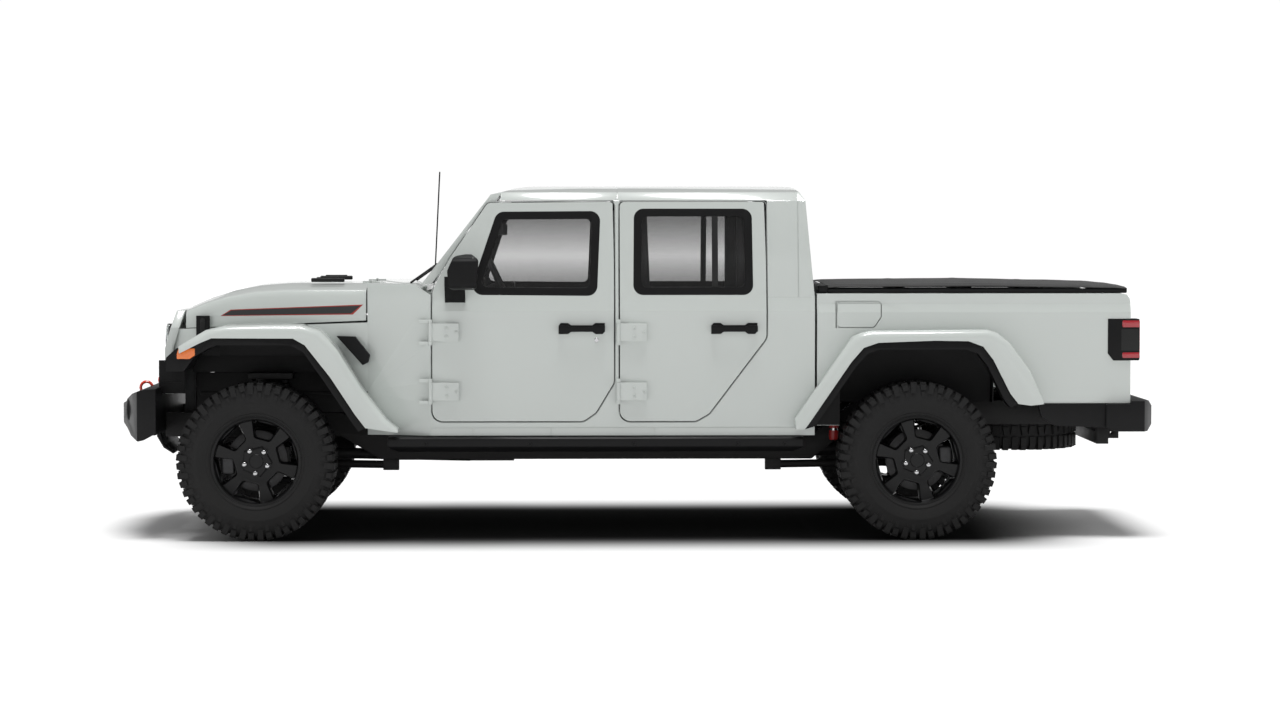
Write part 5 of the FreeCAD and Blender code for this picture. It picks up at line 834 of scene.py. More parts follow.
def tread_block(width, y, lift, along, skew=0.0, low=0.398):
    """A rubber block on top of the tyre: its width round the tyre, its span across and its height."""
    piece = block("tread_block", about(along, width / 2), y, (low, lift), 0)
    scale_faces(piece, lambda middle, normal: normal.z > 0.9, (0.86, 0.93, 1))
    return shift_faces(piece, lambda middle, normal: normal.y < -0.9, (skew, 0, 0))


def side_biter(width, y, z, along, lean=0.0):
    """A raised block on the sidewall that runs from the shoulder towards the rim."""
    piece = block("side_biter", about(along, width / 2), y, z, 0)
    scale_faces(piece, lambda middle, normal: normal.y < -0.9, (0.84, 1, 0.93))
    return shift_faces(piece, lambda middle, normal: normal.z < -0.9, (0, lean, 0))


pitch_blocks = [
    tread_block(0.037, (-0.052, -0.004), crest, -half_pitch / 2, skew=0.008),
    tread_block(0.037, (-0.046, 0.002), crest, half_pitch / 2, skew=-0.008),
    tread_block(0.036, (-0.13, -0.06), crest - 0.001, -half_pitch / 2, low=0.392),
    tread_block(0.036, (-0.122, -0.058), crest - 0.001, half_pitch / 2, low=0.392),
    side_biter(0.034, (-0.1325, -0.112), (0.356, 0.409), -half_pitch / 2),
    side_biter(0.034, (-0.1315, -0.11), (0.374, 0.405), half_pitch / 2),
    side_biter(0.02, (-0.1335, -0.12), (0.336, 0.366), half_pitch / 2, 0.001),
    side_biter(0.006, (-0.1338, -0.12), (0.334, 0.352), -half_pitch / 2, 0.001),
]
pitch_left = joined(pitch_blocks, "tread_pitch")
pitch_right = turn_about(copied(pitch_left, "tread_pitch_right", flip=True), math.pi / pitches)
tread = around(joined([pitch_left, pitch_right], "tread"), pitches)
print("tread faces:", len(tread.data.polygons))

# %% Five tyres
tyre_pattern = joined([carcass, tread], "tyre_pattern")
axle_x = {"front": -1.99, "rear": 1.498}
half_track = 0.8
wheel_places = {(row, hand): (x, side * half_track, tyre_radius)
                for row, x in axle_x.items() for hand, side in sides.items()}
for (row, hand), place in wheel_places.items():
    tyre = copied(tyre_pattern, f"{row}_tyre_{hand}_rubber", place)
    finished(tyre, tyre_rubber, f"{row}_wheel_{hand}", "tyre", f"{row}_tyre_{hand}")
print("tyre faces:", len(tyre_pattern.data.polygons))

# %% [markdown]
# ## Cast rims
#
# The rim is turned like the tyre: outer flange, dished face, hub, and the barrel behind. Six windows are
# then cut through the face. Each cutter is a block whose outer end is wider than its inner end and whose
# front is wider than its back, so the boolean leaves sloped walls that catch the light like a casting.

# %% Rim blank and windows
rim_rings = [(0.237, 0.101), (0.2374, 0.1062), (0.23, 0.1075), (0.224, 0.104), (0.219, 0.09),
             (0.214, 0.083), (0.206, 0.08), (0.15, 0.077), (0.108, 0.0725), (0.09, 0.07),
             (0.048, 0.069), (0.048, 0.03), (0.09, 0.031), (0.196, 0.038), (0.205, 0.03),
             (0.208, 0.01), (0.208, -0.09), (0.22, -0.104), (0.237, -0.107), (0.2372, -0.098),
             (0.23, -0.09), (0.23, 0.09), (0.237, 0.101)]
rim_blank = turned("rim_blank", rim_rings, points=96)
windows = 6
cutter = block("window_cutter", (-0.049, 0.049), (-0.095, -0.02), (0.118, 0.203), 0)
scale_faces(cutter, lambda middle, normal: normal.z > 0.9, (1.42, 1, 1))
scale_faces(cutter, lambda middle, normal: normal.z < -0.9, (0.8, 1, 1))
scale_faces(cutter, lambda middle, normal: normal.y < -0.9, (1.22, 1, 1.17))
scale_faces(cutter, lambda middle, normal: normal.y > 0.9, (0.86, 1, 0.88))
pick_edges(cutter, lambda ends, normals: abs(ends[0].y - ends[1].y) > 0.05)
bevel(0.012, 3)
around(turn_about(cutter, math.radians(15)), windows)
modified(rim_blank, "windows", "BOOLEAN", operation="DIFFERENCE", solver="EXACT", object=cutter)
bpy.data.objects.remove(cutter)
modified(rim_blank, "cast_edges", "BEVEL", width=0.0025, segments=2, limit_method="ANGLE",
         angle_limit=math.radians(28))
smooth(34)
print("rim faces:", len(rim_blank.data.polygons))

# %% [markdown]
# The middle of the wheel is a raised five-sided boss with a chrome dome nut at each corner, and a
# plain black cap over the hub. A valve stem and a brake disc behind the windows complete it.

# %% Boss, cap and nuts
nuts_on_hub = 5
boss_turn, nut_turn = math.radians(22), math.radians(40)
boss = turned("hub_boss", [(0.086, 0.066), (0.086, 0.074), (0.079, 0.079), (0.044, 0.08)],
              nuts_on_hub, flat=True)
turn_about(boss, boss_turn)
edit("EDGE")
bevel(0.004, 2)
cap = turned("hub_cap", [(0.038, 0.078), (0.038, 0.083), (0.0345, 0.0862), (0.02, 0.0868)], 40)
valve = turned("valve_stem", [(0.0045, 0.078), (0.0045, 0.098), (0.0035, 0.101)], 12, (0, 0, 0.213))
rim_pattern = joined([rim_blank, boss, cap, valve], "rim_pattern")
nut = turned("dome_nut", [(0.0175, 0.074), (0.0175, 0.0765), (0.0155, 0.079), (0.0152, 0.087),
                          (0.0135, 0.095), (0.009, 0.1), (0.003, 0.1015)], 20, (0, 0, 0.0635))
around(turn_about(nut, nut_turn), nuts_on_hub)
disc = turned("disc_pattern", [(0.162, 0.014), (0.162, 0.028), (0.159, 0.0295), (0.096, 0.0295),
                               (0.093, 0.038), (0.074, 0.04), (0.074, 0.012), (0.16, 0.012),
                               (0.162, 0.014)], 72)
for (row, hand), place in wheel_places.items():
    flip, wheel = hand == "right", f"{row}_wheel_{hand}"
    rim = copied(rim_pattern, f"{row}_rim_{hand}_casting", place, flip)
    finished(rim, rim_black, wheel, "rim_black", f"{row}_rim_{hand}")
    nuts = copied(nut, f"{row}_wheel_nuts_{hand}", place, flip)
    finished(nuts, bright_steel, wheel, "rim_black")
print("rims with nuts:", len(wheel_places))

# %% [markdown]
# The spare hangs under the bed, lying flat. It is the same tyre and rim, turned to face the ground.

# %% Spare wheel
spare_place = [(low + high) / 2 for low, high in zip(*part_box("spare_wheel"))]
spare_tyre, spare_rim = (turn_about(copied(pattern, name), math.pi / 2, "X")
                         for pattern, name in ((tyre_pattern, "spare_tyre"), (rim_pattern, "spare_rim")))
for part, material, slot in ((spare_tyre, tyre_rubber, "tyre"), (spare_rim, rim_black, "rim_black")):
    part.location = spare_place
    finished(settled(part), material, "chassis", slot)
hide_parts("spare_wheel")
for pattern in (tyre_pattern, rim_pattern, nut):
    bpy.data.objects.remove(pattern)
print("spare at:", [round(v, 3) for v in spare_place])

# %% [markdown]
# ## Lamps
#
# A headlamp is a bright bowl behind a clear lens, with a dark ring round it and a bar across. All of it
# is turned from profiles that face forward. The lenses are solids that stay.

# %% Headlamps
headlamp_x, headlamp_y, headlamp_z = -2.472, 0.452, 1.04
bowl_rings = [(0.088, 0.006), (0.088, 0.009), (0.07, -0.001), (0.048, -0.006), (0.03, -0.007),
              (0.03, 0.002), (0.024, 0.005), (0.012, 0.0065)]
ring_rings = [(0.0915, 0.004), (0.0915, 0.01), (0.084, 0.012), (0.082, 0.006), (0.0915, 0.004)]
for hand, side in sides.items():
    y = side * headlamp_y
    centre = (headlamp_x, y, headlamp_z)
    bowl = turned(f"headlamp_bowl_{hand}", bowl_rings, 48, centre, "FRONT")
    finished(bowl, bright_steel, "chassis", "lamp_clear")
    ring = turned(f"headlamp_ring_{hand}", ring_rings, 48, centre, "FRONT")
    finished(ring, black_plastic, "chassis", "black_plastic")
    bar = block(f"headlamp_bar_{hand}", (headlamp_x - 0.01, headlamp_x - 0.003), about(y, 0.07),
                about(headlamp_z, 0.006))
    finished(bar, black_plastic, "chassis", "black_plastic")
print("headlamps at:", round(headlamp_x, 3))

# %% Fog lamps
fog_ring_rings = [(0.0535, 0.006), (0.0535, 0.03), (0.0505, 0.032), (0.0485, 0.012), (0.0485, 0.006),
                  (0.0535, 0.006)]
fog_bowl_rings = [(0.045, 0.01), (0.045, 0.011), (0.03, 0.004), (0.008, 0.002)]
for hand, side in sides.items():
    centre = (-2.656, side * 0.59, 0.675)
    ring = turned(f"fog_lamp_ring_{hand}", fog_ring_rings, 40, centre, "FRONT")
    finished(ring, black_plastic, "chassis", "black_plastic")
    bowl = turned(f"fog_lamp_bowl_{hand}", fog_bowl_rings, 32, centre, "FRONT")
    finished(bowl, bright_steel, "chassis", "lamp_clear")
print("fog lamps ready")

# %% [markdown]
# A tail lamp is a black housing with a red strip over the top and another along the bottom, and a plain
# dark plate between them. The housing is the rounded solid. The strips are blocks whose front ends are
# drawn in, and they stand a millimetre proud.

# %% Tail lamp lenses
lamp_side = 0.813
for hand, side in sides.items():
    outer = side * lamp_side
    strips = [block("strip", (2.592, 2.6868), (outer - side * 0.012, outer + side * 0.0012), z, 0.005)
              for z in ((1.118, 1.158), (0.955, 0.988))]
    for strip in strips:
        scale_faces(strip, lambda middle, normal: normal.x < -0.5, (1, 1, 0.72))
    trim_part(strips, f"tail_lamp_lens_{hand}", lens_red, "lamp_red")
    plate = block(f"tail_lamp_plate_{hand}", (2.586, 2.684), (outer - side * 0.01, outer + side * 0.001),
                  (0.993, 1.113), 0.006, 3)
    finished(plate, seal_rubber, "chassis", "black_plastic")
    back = block(f"tail_lamp_rear_lens_{hand}", (2.6865, 2.6888), (side * 0.742, side * 0.806),
                 (0.955, 1.153), 0.001)
    finished(back, lens_red, "chassis", "lamp_red")
    back = block(f"reverse_lamp_{hand}", (2.687, 2.6896), (side * 0.752, side * 0.798),
                 (1.06, 1.11), 0.001)
    finished(back, lamp_glass, "chassis", "lamp_clear")
print("tail lamps ready")

# %% [markdown]
# ## Grille mesh
#
# Behind the nine slots sits a dark woven mesh that keeps stones off the radiator. A finely divided
# plane becomes a mesh of wires with the wireframe modifier.

# %% Mesh behind the slots
bpy.ops.object.select_all(action="DESELECT")
bpy.ops.mesh.primitive_grid_add(x_subdivisions=96, y_subdivisions=36, size=1, location=(0, 0, 0))
grille_mesh = bpy.context.view_layer.objects.active
grille_mesh.scale = (0.7, 0.27, 1)
grille_mesh.rotation_euler = (math.pi / 2, 0, math.pi / 2)
grille_mesh.location = (-2.429, 0, 1.015)
modified(named("grille_mesh"), "wires", "WIREFRAME", thickness=0.0018, use_even_offset=False)
finished(grille_mesh, black_steel, "chassis", "black_steel")
print("mesh faces:", len(grille_mesh.data.polygons))

# %% [markdown]
# ## Hood: decal, latches and rests
#
# A long thin decal runs along each side of the hood, black with a red edge. It has to follow a curved
# panel, so it starts as a fine grid seen from the side, is drawn to its tapered outline, and is laid on
# the hood with a shrinkwrap before it gets the thickness of a film.

# %% Hood decals
def hood_decal(name, x, z, lean, side, material, proud):
    """A film on the hood's flank between two places along x and two heights, its ends leaning."""
    length, height = x[1] - x[0], z[1] - z[0]
    bpy.ops.object.select_all(action="DESELECT")
    bpy.ops.mesh.primitive_grid_add(x_subdivisions=60, y_subdivisions=10, size=1)
    film = bpy.context.view_layer.objects.active
    film.scale = (length, height, 1)
    film.rotation_euler = (math.pi / 2, 0, 0)
    film.location = ((x[0] + x[1]) / 2, side * 0.9, (z[0] + z[1]) / 2)
    film = named(name)
    for vertex in film.data.vertices:
        share = (vertex.co.z - z[0]) / height
        along = (vertex.co.x - x[0]) / length
        vertex.co.x += lean * share
        vertex.co.z += 0.02 * along
        vertex.co.z -= (1 - along) * (share - 0.5) * 0.35 * height
    modified(film, "laid_on_hood", "SHRINKWRAP", target=panel["hood"], wrap_method="PROJECT",
             use_project_y=True, use_positive_direction=True, use_negative_direction=True,
             wrap_mode="ABOVE_SURFACE", offset=proud)
    modified(film, "film", "SOLIDIFY", thickness=0.0004, offset=0)
    return finished(film, material, "hood", "black_plastic")


for hand, side in sides.items():
    hood_decal(f"hood_decal_{hand}", (-2.195, -1.5), (1.172, 1.214), 0.05, side, decal_black, 0.0012)
    hood_decal(f"hood_decal_edge_{hand}", (-2.205, -1.492), (1.1665, 1.2195), 0.055, side, decal_red, 0.0006)
print("decals laid")

# %% Hood latches
latch_x, latch_face = -2.297, 0.6105
for hand, side in sides.items():
    face = side * latch_face
    parts = [block("strap", about(latch_x, 0.013), (face - side * 0.004, face + side * 0.006),
                   (1.096, 1.16), 0.003),
             turned("pivot", [(0.013, -0.002), (0.013, 0.006), (0.01, 0.009)], 20,
                    (latch_x, face, 1.1), facings[hand]),
             turned("knob", [(0.01, -0.002), (0.01, 0.01), (0.013, 0.012), (0.013, 0.017),
                             (0.008, 0.02)], 20, (latch_x, face, 1.152), facings[hand])]
    trim_part(parts, f"hood_latch_{hand}", seal_rubber, "black_plastic")
print("hood latches ready")

# %% [markdown]
# Two rubber rests lie across the hood near its rear edge, so that a windshield folded down has
# something to lie on. Each one is a low block with a rib on it.

# %% Rubber rests on the hood
rests = []
for side in sides.values():
    rests.append(block("rest", (-1.74, -1.56), about(side * 0.33, 0.016), (1.352, 1.374), 0.006, 3))
    rests.append(block("rest_rib", (-1.71, -1.59), about(side * 0.33, 0.009), (1.37, 1.379), 0.003))
hood_rests = trim_part(rests, "hood_rests", seal_rubber, "black_plastic", "hood")
print("hood rests:", [round(v, 3) for v in hood_rests.dimensions])

# %% [markdown]
# ## Divider bars and mirror glass
#
# The side windows sit in thick black seals, which are part of the door trim. Each rear door has a
# slim black bar that divides off a small fixed pane. The mirror heads carry a bright pane on the side
# that faces the driver.

# %% Divider bars
divider_x, divider_y, divider_lean = 0.432, 0.7385, 0.03
for hand, side in sides.items():
    glass_low, glass_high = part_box(f"rear_door_glass_{hand}")
    bar = block(f"window_divider_{hand}", about(divider_x, 0.016), (-0.006, 0.006),
                (glass_low.z - 0.004, glass_high.z + 0.004))
    bar.location = (0, side * divider_y, 0)
    settled(bar)
    shift_faces(bar, lambda middle, normal: middle.z > glass_high.z, (0, -side * divider_lean, 0))
    shift_faces(bar, lambda middle, normal: middle.z < glass_low.z, (0, side * divider_lean, 0))
    finished(bar, seal_rubber, f"rear_door_{hand}", "black_plastic")
print("divider bars ready")

# %% Mirror glass
for hand, side in sides.items():
    pane = block(f"mirror_glass_{hand}", (-0.845, -0.8415), (side * 0.87, side * 1.035), (1.33, 1.495),
                 0.0015)
    pick_edges(pane, lambda ends, normals: abs(ends[0].x - ends[1].x) > 0.001)
    bevel(0.024, 4)
    finished(pane, mirror_silver, f"front_door_{hand}", "lamp_clear")
print("mirror panes ready")

# %% [markdown]
# ## Small fittings on the body
#
# Each exposed hinge has round bolt heads on its strap, the door lock is a small bright disc below the
# handle, and the rails and the skid plate carry flanged bolts. One bolt head is turned at each place.

# %% Bolts and locks
bolt_shape = [(1.25, 0.16), (1.0, 0.22), (0.92, 0.5), (0.55, 0.66), (0.36, 0.68), (0.34, 0.4)]


def bolt_row(name, places, facing, size, material, body, slot):
    """A row of flanged button-head bolts at the given places."""
    rings = [(size * radius, size * depth) for radius, depth in bolt_shape]
    heads = [turned("bolt", [(rings[0][0], -0.002)] + rings, 14, place, facing) for place in places]
    return trim_part(heads, name, material, slot, body)


hinge_face, rail_face = 0.8302, 0.85
lock_rings = [(0.012, -0.002), (0.012, 0.0025), (0.01, 0.004), (0.003, 0.0042), (0.0028, 0.002)]
for hand, side in sides.items():
    for row, x in (("front", -0.99), ("rear", 0.003)):
        places = [(x + step, side * hinge_face, z + lift) for z in (0.783, 1.096)
                  for step, lift in ((0.0, 0.022), (0.0, -0.022), (0.052, 0.0))]
        bolt_row(f"{row}_hinge_bolts_{hand}", places, facings[hand], 0.0085, white_paint,
                 f"{row}_door_{hand}", "paint_white")
    lock = turned(f"door_lock_{hand}", lock_rings, 24, (-0.197, side * 0.805, 1.054), facings[hand])
    finished(lock, bright_steel, f"front_door_{hand}", "rim_black")
for hand, side in sides.items():
    bolt_row(f"rail_bolts_{hand}", [(x, side * rail_face, 0.505) for x in (-1.1, -0.55, 0.0, 0.55, 0.8)],
             facings[hand], 0.009, black_steel, "chassis", "black_steel")
bolt_row("skid_bolts", [(-2.572, y, 0.535) for y in (-0.24, -0.08, 0.08, 0.24)], "FRONT", 0.01,
         black_steel, "chassis", "black_steel")
print("bolts ready")

# %% [markdown]
# The marker in the end of each front flare is amber plastic with fine vertical ribs. The ribs are low
# blocks on its face.

# %% Marker ribs
rib_pitch, rib_count = 0.0085, 10
for hand, side in sides.items():
    ribs = [block("rib", (-2.39 + rib_pitch * k, -2.387 + rib_pitch * k), (side * 0.93, side * 0.9356),
                  (0.976, 1.012), 0.0008, 1) for k in range(rib_count)]
    trim_part(ribs, f"marker_ribs_{hand}", lens_amber, "lamp_amber")
print("marker ribs ready")

# %% [markdown]
# ## Bed cover
#
# The cover over the bed is one sheet of coated cloth, stretched over a frame: nearly flat, crowned a
# little, and pulled down over rails at its edges. A fine grid is lifted to the crown, its rim is turned
# down over the rails, and a solidify modifier gives it the thickness of cloth.

# %% Stretched cover
cover_low, cover_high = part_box("bed_cover")
cover_x = (cover_low.x + 0.052, cover_high.x + 0.066)
cover_half = cover_high.y
rise = cover_high.z - cover_low.z - 0.002
length_shape = [(0.0, 0.8), (0.04, 0.9), (0.2, 0.95), (0.5, 1.0), (0.82, 0.85), (0.95, 0.76), (1.0, 0.66)]
width_shape = [(0.0, 1.0), (0.5, 0.95), (0.85, 0.84), (0.96, 0.72), (1.0, 0.62)]


def along_shape(shape, share):
    """The height of an outline of (share, height) points at a share of its length."""
    for (first, low), (last, high) in zip(shape, shape[1:]):
        if share <= last:
            part = (share - first) / (last - first)
            part = part * part * (3 - 2 * part)
            return low + (high - low) * part
    return shape[-1][1]


bpy.ops.object.select_all(action="DESELECT")
bpy.ops.mesh.primitive_grid_add(x_subdivisions=150, y_subdivisions=120, size=1)
cover = bpy.context.view_layer.objects.active
cover.scale = (cover_x[1] - cover_x[0], 2 * cover_half, 1)
cover.location = ((cover_x[0] + cover_x[1]) / 2, 0, 0)
cover = named("bed_cover_cloth")
for vertex in cover.data.vertices:
    share = (vertex.co.x - cover_x[0]) / (cover_x[1] - cover_x[0])
    beside = abs(vertex.co.y) / cover_half
    crown = along_shape(length_shape, share) * along_shape(width_shape, beside)
    bows = [0.0016 * math.exp(-((share - bow) / 0.012) ** 2) for bow in (0.27, 0.5, 0.73)]
    slack = 0.001 * math.sin(share * 41) * math.sin(beside * 9 + share * 5) * (1 - beside)
    vertex.co.z = cover_low.z + rise * crown + sum(bows) * (1 - beside ** 4) - 0.002 + slack
modified(cover, "cloth_thickness", "SOLIDIFY", thickness=0.0018, offset=-1)
bpy.ops.object.shade_smooth()
finished(cover, cover_cloth, "chassis", "cover_fabric", "bed_cover")
print("cover:", [round(v, 3) for v in cover.dimensions])

# %% Rails under the cover
rail_foot, rail_top = cover_low.z + 0.0005, cover_low.z + rise * 0.4
cover_rails = [block("side_rail", cover_x, about(side * (cover_half - 0.0235), 0.0215), (rail_foot, rail_top),
                     0.006, 3) for side in sides.values()]
cover_rails.append(block("front_rail", (cover_low.x, cover_low.x + 0.055), about(0, cover_half),
                         (rail_foot, cover_low.z + 0.046), 0.01, 3))
cover_rails.append(block("rear_rail", (cover_x[1] - 0.04, cover_x[1] - 0.002), about(0, cover_half - 0.01),
                         (rail_foot, rail_top - 0.004), 0.006, 3))
for x in (1.46, 1.82, 2.18):
    cover_rails.append(block("cross_bow", about(x, 0.014), about(0, cover_half - 0.03),
                             (cover_low.z + 0.004, rail_top), 0.004))
trim_part(cover_rails, "bed_cover_rails", black_steel, "black_steel")
print("rails ready")

# %% [markdown]
# ## Seats
#
# A seat is foam in a sewn cover: a cushion, a back and a headrest, each crowned and drawn in at its
# seams. Each pad starts as a slightly small block, is remeshed to even quads, and is blown up by the cloth
# solver with a little pressure. How far a point may move is capped, and the seams are pressed in as sunk
# channels. One subdivision smooths the result. The seats of one row share the same pads, copied.

# %% Blown-up pad
def pad_form(name, corners, width):
    """A pad between four corners seen from the side, as wide as given about the middle line."""
    bpy.ops.object.select_all(action="DESELECT")
    bpy.ops.mesh.primitive_cube_add(size=1, location=(0, 0, 0))
    pad = bpy.context.view_layer.objects.active
    pad.name = name
    for vertex in pad.data.vertices:
        rear, right, top = (value > 0 for value in vertex.co)
        x, z = corners[(2 if top else 1) if rear else (3 if top else 0)]
        vertex.co = (x, width / 2 if right else -width / 2, z)
    select_only(pad)
    edit("EDGE")
    bevel(0.022, 3)
    return modified(pad, "even_quads", "REMESH", mode="VOXEL", voxel_size=0.01)


def blown_up(pad, cap):
    """Swells a pad with the cloth solver and caps how far each point may go."""
    start = [vertex.co.copy() for vertex in pad.data.vertices]
    select_only(pad)
    swell = pad.modifiers.new("foam_pressure", "CLOTH")
    swell.settings.quality = 4
    swell.settings.mass = 0.2
    swell.settings.use_pressure = True
    swell.settings.uniform_pressure_force = 4
    swell.settings.effector_weights.gravity = 0
    last_frame = 20
    swell.point_cache.frame_start = 1
    swell.point_cache.frame_end = last_frame
    for number in range(1, last_frame + 1):
        bpy.context.scene.frame_set(number)
    shape = pad.evaluated_get(bpy.context.evaluated_depsgraph_get())
    moved = [vertex.co.copy() for vertex in shape.data.vertices]
    pad.modifiers.remove(swell)
    bpy.context.scene.frame_set(1)
    for vertex, before, after in zip(pad.data.vertices, start, moved):
        step = after - before
        if step.length > cap:
            step.length = cap
        vertex.co = before + step


def sewn(pad, seams, depth, spread=0.01):
    """Presses channels into a pad at its seams, which are places along its width."""
    select_only(pad)
    pad.data.update()
    normals = [vertex.normal.copy() for vertex in pad.data.vertices]
    for vertex, normal in zip(pad.data.vertices, normals):
        press = max(math.exp(-((vertex.co.y - place) / spread) ** 2) for place in seams)
        vertex.co -= normal * depth * press
    modified(pad, "one_subdivision", "SUBSURF", levels=1, render_levels=1)
    bpy.ops.object.shade_smooth()


def seat_pads(prefix, x, width, seams):
    """The three pads of a seat whose solid starts at x, about the middle line."""
    corners = {"cushion": [(0.02, 0.69), (0.455, 0.655), (0.475, 0.79), (0.02, 0.795)],
               "back": [(0.4, 0.815), (0.505, 0.815), (0.625, 1.295), (0.56, 1.3)],
               "headrest": [(0.572, 1.33), (0.624, 1.33), (0.624, 1.434), (0.592, 1.434)]}
    caps = {"cushion": 0.018, "back": 0.014, "headrest": 0.007}
    pads = {}
    for part, outline in corners.items():
        head = part == "headrest"
        pads[part] = pad_form(f"{prefix}_{part}", [(x + ahead, z) for ahead, z in outline],
                              0.215 if head else width - 0.05)
    for part, pad in pads.items():
        blown_up(pad, caps[part])
        sewn(pad, [0.0] if part == "headrest" else seams, 0.0015 if part == "headrest" else 0.007)
    return pads


front_x, rear_x = -0.5855, 0.191
front_seat_y, rear_head_y = 0.37835, 0.48
front_pads = seat_pads("front_seat", front_x, 0.48, [-0.115, 0.115])
rear_pads = seat_pads("rear_seat", rear_x, 1.2, [-0.36, -0.12, 0.12, 0.36])
print("pads blown up:", len(front_pads) + len(rear_pads))

# %% Pads in their places
placed_pads = [copied(pad, f"front_seat_{part}_{hand}", (0, side * front_seat_y, 0))
               for hand, side in sides.items() for part, pad in front_pads.items()]
placed_pads += [copied(rear_pads[part], f"rear_seat_{part}_pad") for part in ("cushion", "back")]
placed_pads += [copied(rear_pads["headrest"], f"rear_seat_headrest_{hand}", (0, side * rear_head_y, 0))
                for hand, side in sides.items()]
for pad in [*front_pads.values(), *rear_pads.values()]:
    bpy.data.objects.remove(pad)
for pad in placed_pads:
    finished(pad, seat_cloth, "chassis", "seat_fabric")
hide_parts("seats")
print("pads placed:", len(placed_pads))

# %% Seat frames and headrest posts
seat_floor = 0.6003
frames = []
for x, y, half, heads in ((front_x, -front_seat_y, 0.225, (0,)), (front_x, front_seat_y, 0.225, (0,)),
                          (rear_x, 0.0, 0.59, (-rear_head_y, rear_head_y))):
    frames.append(block("seat_box", (x + 0.03, x + 0.45), about(y, half), (seat_floor, 0.672), 0.012, 3))
    frames.append(block("back_plate", (x + 0.48, x + 0.512), about(y, half - 0.03), (0.7, 0.86), 0.01))
    frames += [turned("post", [(0.006, 0), (0.006, 0.09)], 12, (x + 0.6, y + head + post, 1.27), "UP")
               for head in heads for post in (-0.055, 0.055)]
trim_part(frames, "seat_frames", inside_plastic, "interior_plastic")
print("seat frames ready")

# %% [markdown]
# ## Behind the windows
#
# Through the glass one sees a steering wheel, the top of the dashboard, an inner mirror and the roll
# bars. The steering wheel is a ring of leather: a circle extruded round is one way, but a torus laid on
# its axis and given spokes is quicker and just as true.

# %% Steering wheel
lean = math.radians(25)
wheel_centre = (-0.71043, -0.37835, 1.334)
bpy.ops.object.select_all(action="DESELECT")
bpy.ops.mesh.primitive_torus_add(major_radius=0.1735, minor_radius=0.0145, major_segments=64,
                                 minor_segments=14, location=(0, 0, 0))
wheel_parts = [bpy.context.view_layer.objects.active]
for degrees in (0, -120, 120):
    spoke = block("spoke", (-0.014, 0.014), (0.03, 0.166), (-0.007, 0.005), 0.004)
    scale_faces(spoke, lambda middle, normal: middle.y < 0.032, (1.9, 1, 1))
    wheel_parts.append(turn_about(spoke, math.radians(180 + degrees), "Z"))
wheel_parts.append(turned("wheel_hub", [(0.052, -0.02), (0.056, -0.004), (0.05, 0.01), (0.032, 0.017),
                                        (0.006, 0.019)], 32, facing="UP"))
steering = joined(wheel_parts, "steering_wheel_leather")
pointed(steering, Vector((math.cos(lean), 0, math.sin(lean))), wheel_centre)
smooth(40)
finished(steering, inside_leather, "steering_wheel", "interior_plastic", "steering_wheel")
print("steering wheel:", [round(v, 3) for v in steering.dimensions])

# %% Dashboard details
cluster = [block("hood", (-0.9, -0.8), (-0.52, -0.235), (1.3, 1.385), 0.02, 4)]
vent_rings = [(0.038, 0), (0.038, 0.012), (0.032, 0.014), (0.03, 0.006), (0.01, 0.004)]
for y in (-0.6, -0.15, 0.15, 0.6):
    cluster.append(turned("vent", vent_rings, 24, (-0.64, y, 1.195), "REAR"))
trim_part(cluster, "gauge_hood_and_vents", inside_plastic, "interior_plastic")
screen = block("centre_screen", (-0.655, -0.642), (-0.105, 0.105), (1.225, 1.345), 0.004)
finished(screen, decal_black, "chassis", "interior_plastic")
lever_rings = [(0.01, 0), (0.008, 0.12), (0.02, 0.13), (0.022, 0.16), (0.012, 0.172)]
levers = [turned("lever", lever_rings, 20, (-0.52, y, 0.985), "UP") for y in (-0.04, 0.045)]
trim_part(levers, "gear_levers", inside_leather, "interior_plastic")
print("dashboard ready")

# %% Inner mirror and roll bars
mirror_head = block("mirror", about(0, 0.013), about(0, 0.115), about(0, 0.032), 0.01, 4)
turn_about(mirror_head, math.radians(19), "Z")
mirror_head.location = (-0.728, 0, 1.636)
stem = block("stem", (-0.745, -0.725), about(0, 0.01), (1.65, 1.77), 0.004)
trim_part([mirror_head, stem], "inner_mirror", inside_plastic, "interior_plastic")
bars = []
for side in sides.values():
    bars.append(block("roll_bar", (-0.66, 0.85), about(side * 0.56, 0.026), (1.742, 1.786), 0.018, 4))
    for x, width in ((0.02, 0.085), (0.55, 0.09), (0.8, 0.06)):
        pad = block("pillar_pad", (x, x + width), about(side * 0.64, 0.022), (0.96, 1.76), 0.016, 3)
        bars.append(scale_faces(pad, lambda middle, normal: middle.z > 1.7, (0.6, 1, 1),
                                center_override=(x, 0, 0)))
trim_part(bars, "roll_bars", inside_plastic, "interior_plastic")
print("roll bars ready")

# %% [markdown]
# ## Springs and shocks
#
# A coil spring is a round wire that climbs as it turns. The screw modifier does exactly that: a small
# circle of wire, set off from the axis, is carried round and up. The front and rear springs differ only
# in height and turns. A shock is turned, with a painted tube and a rubber boot, and stands beside its can.

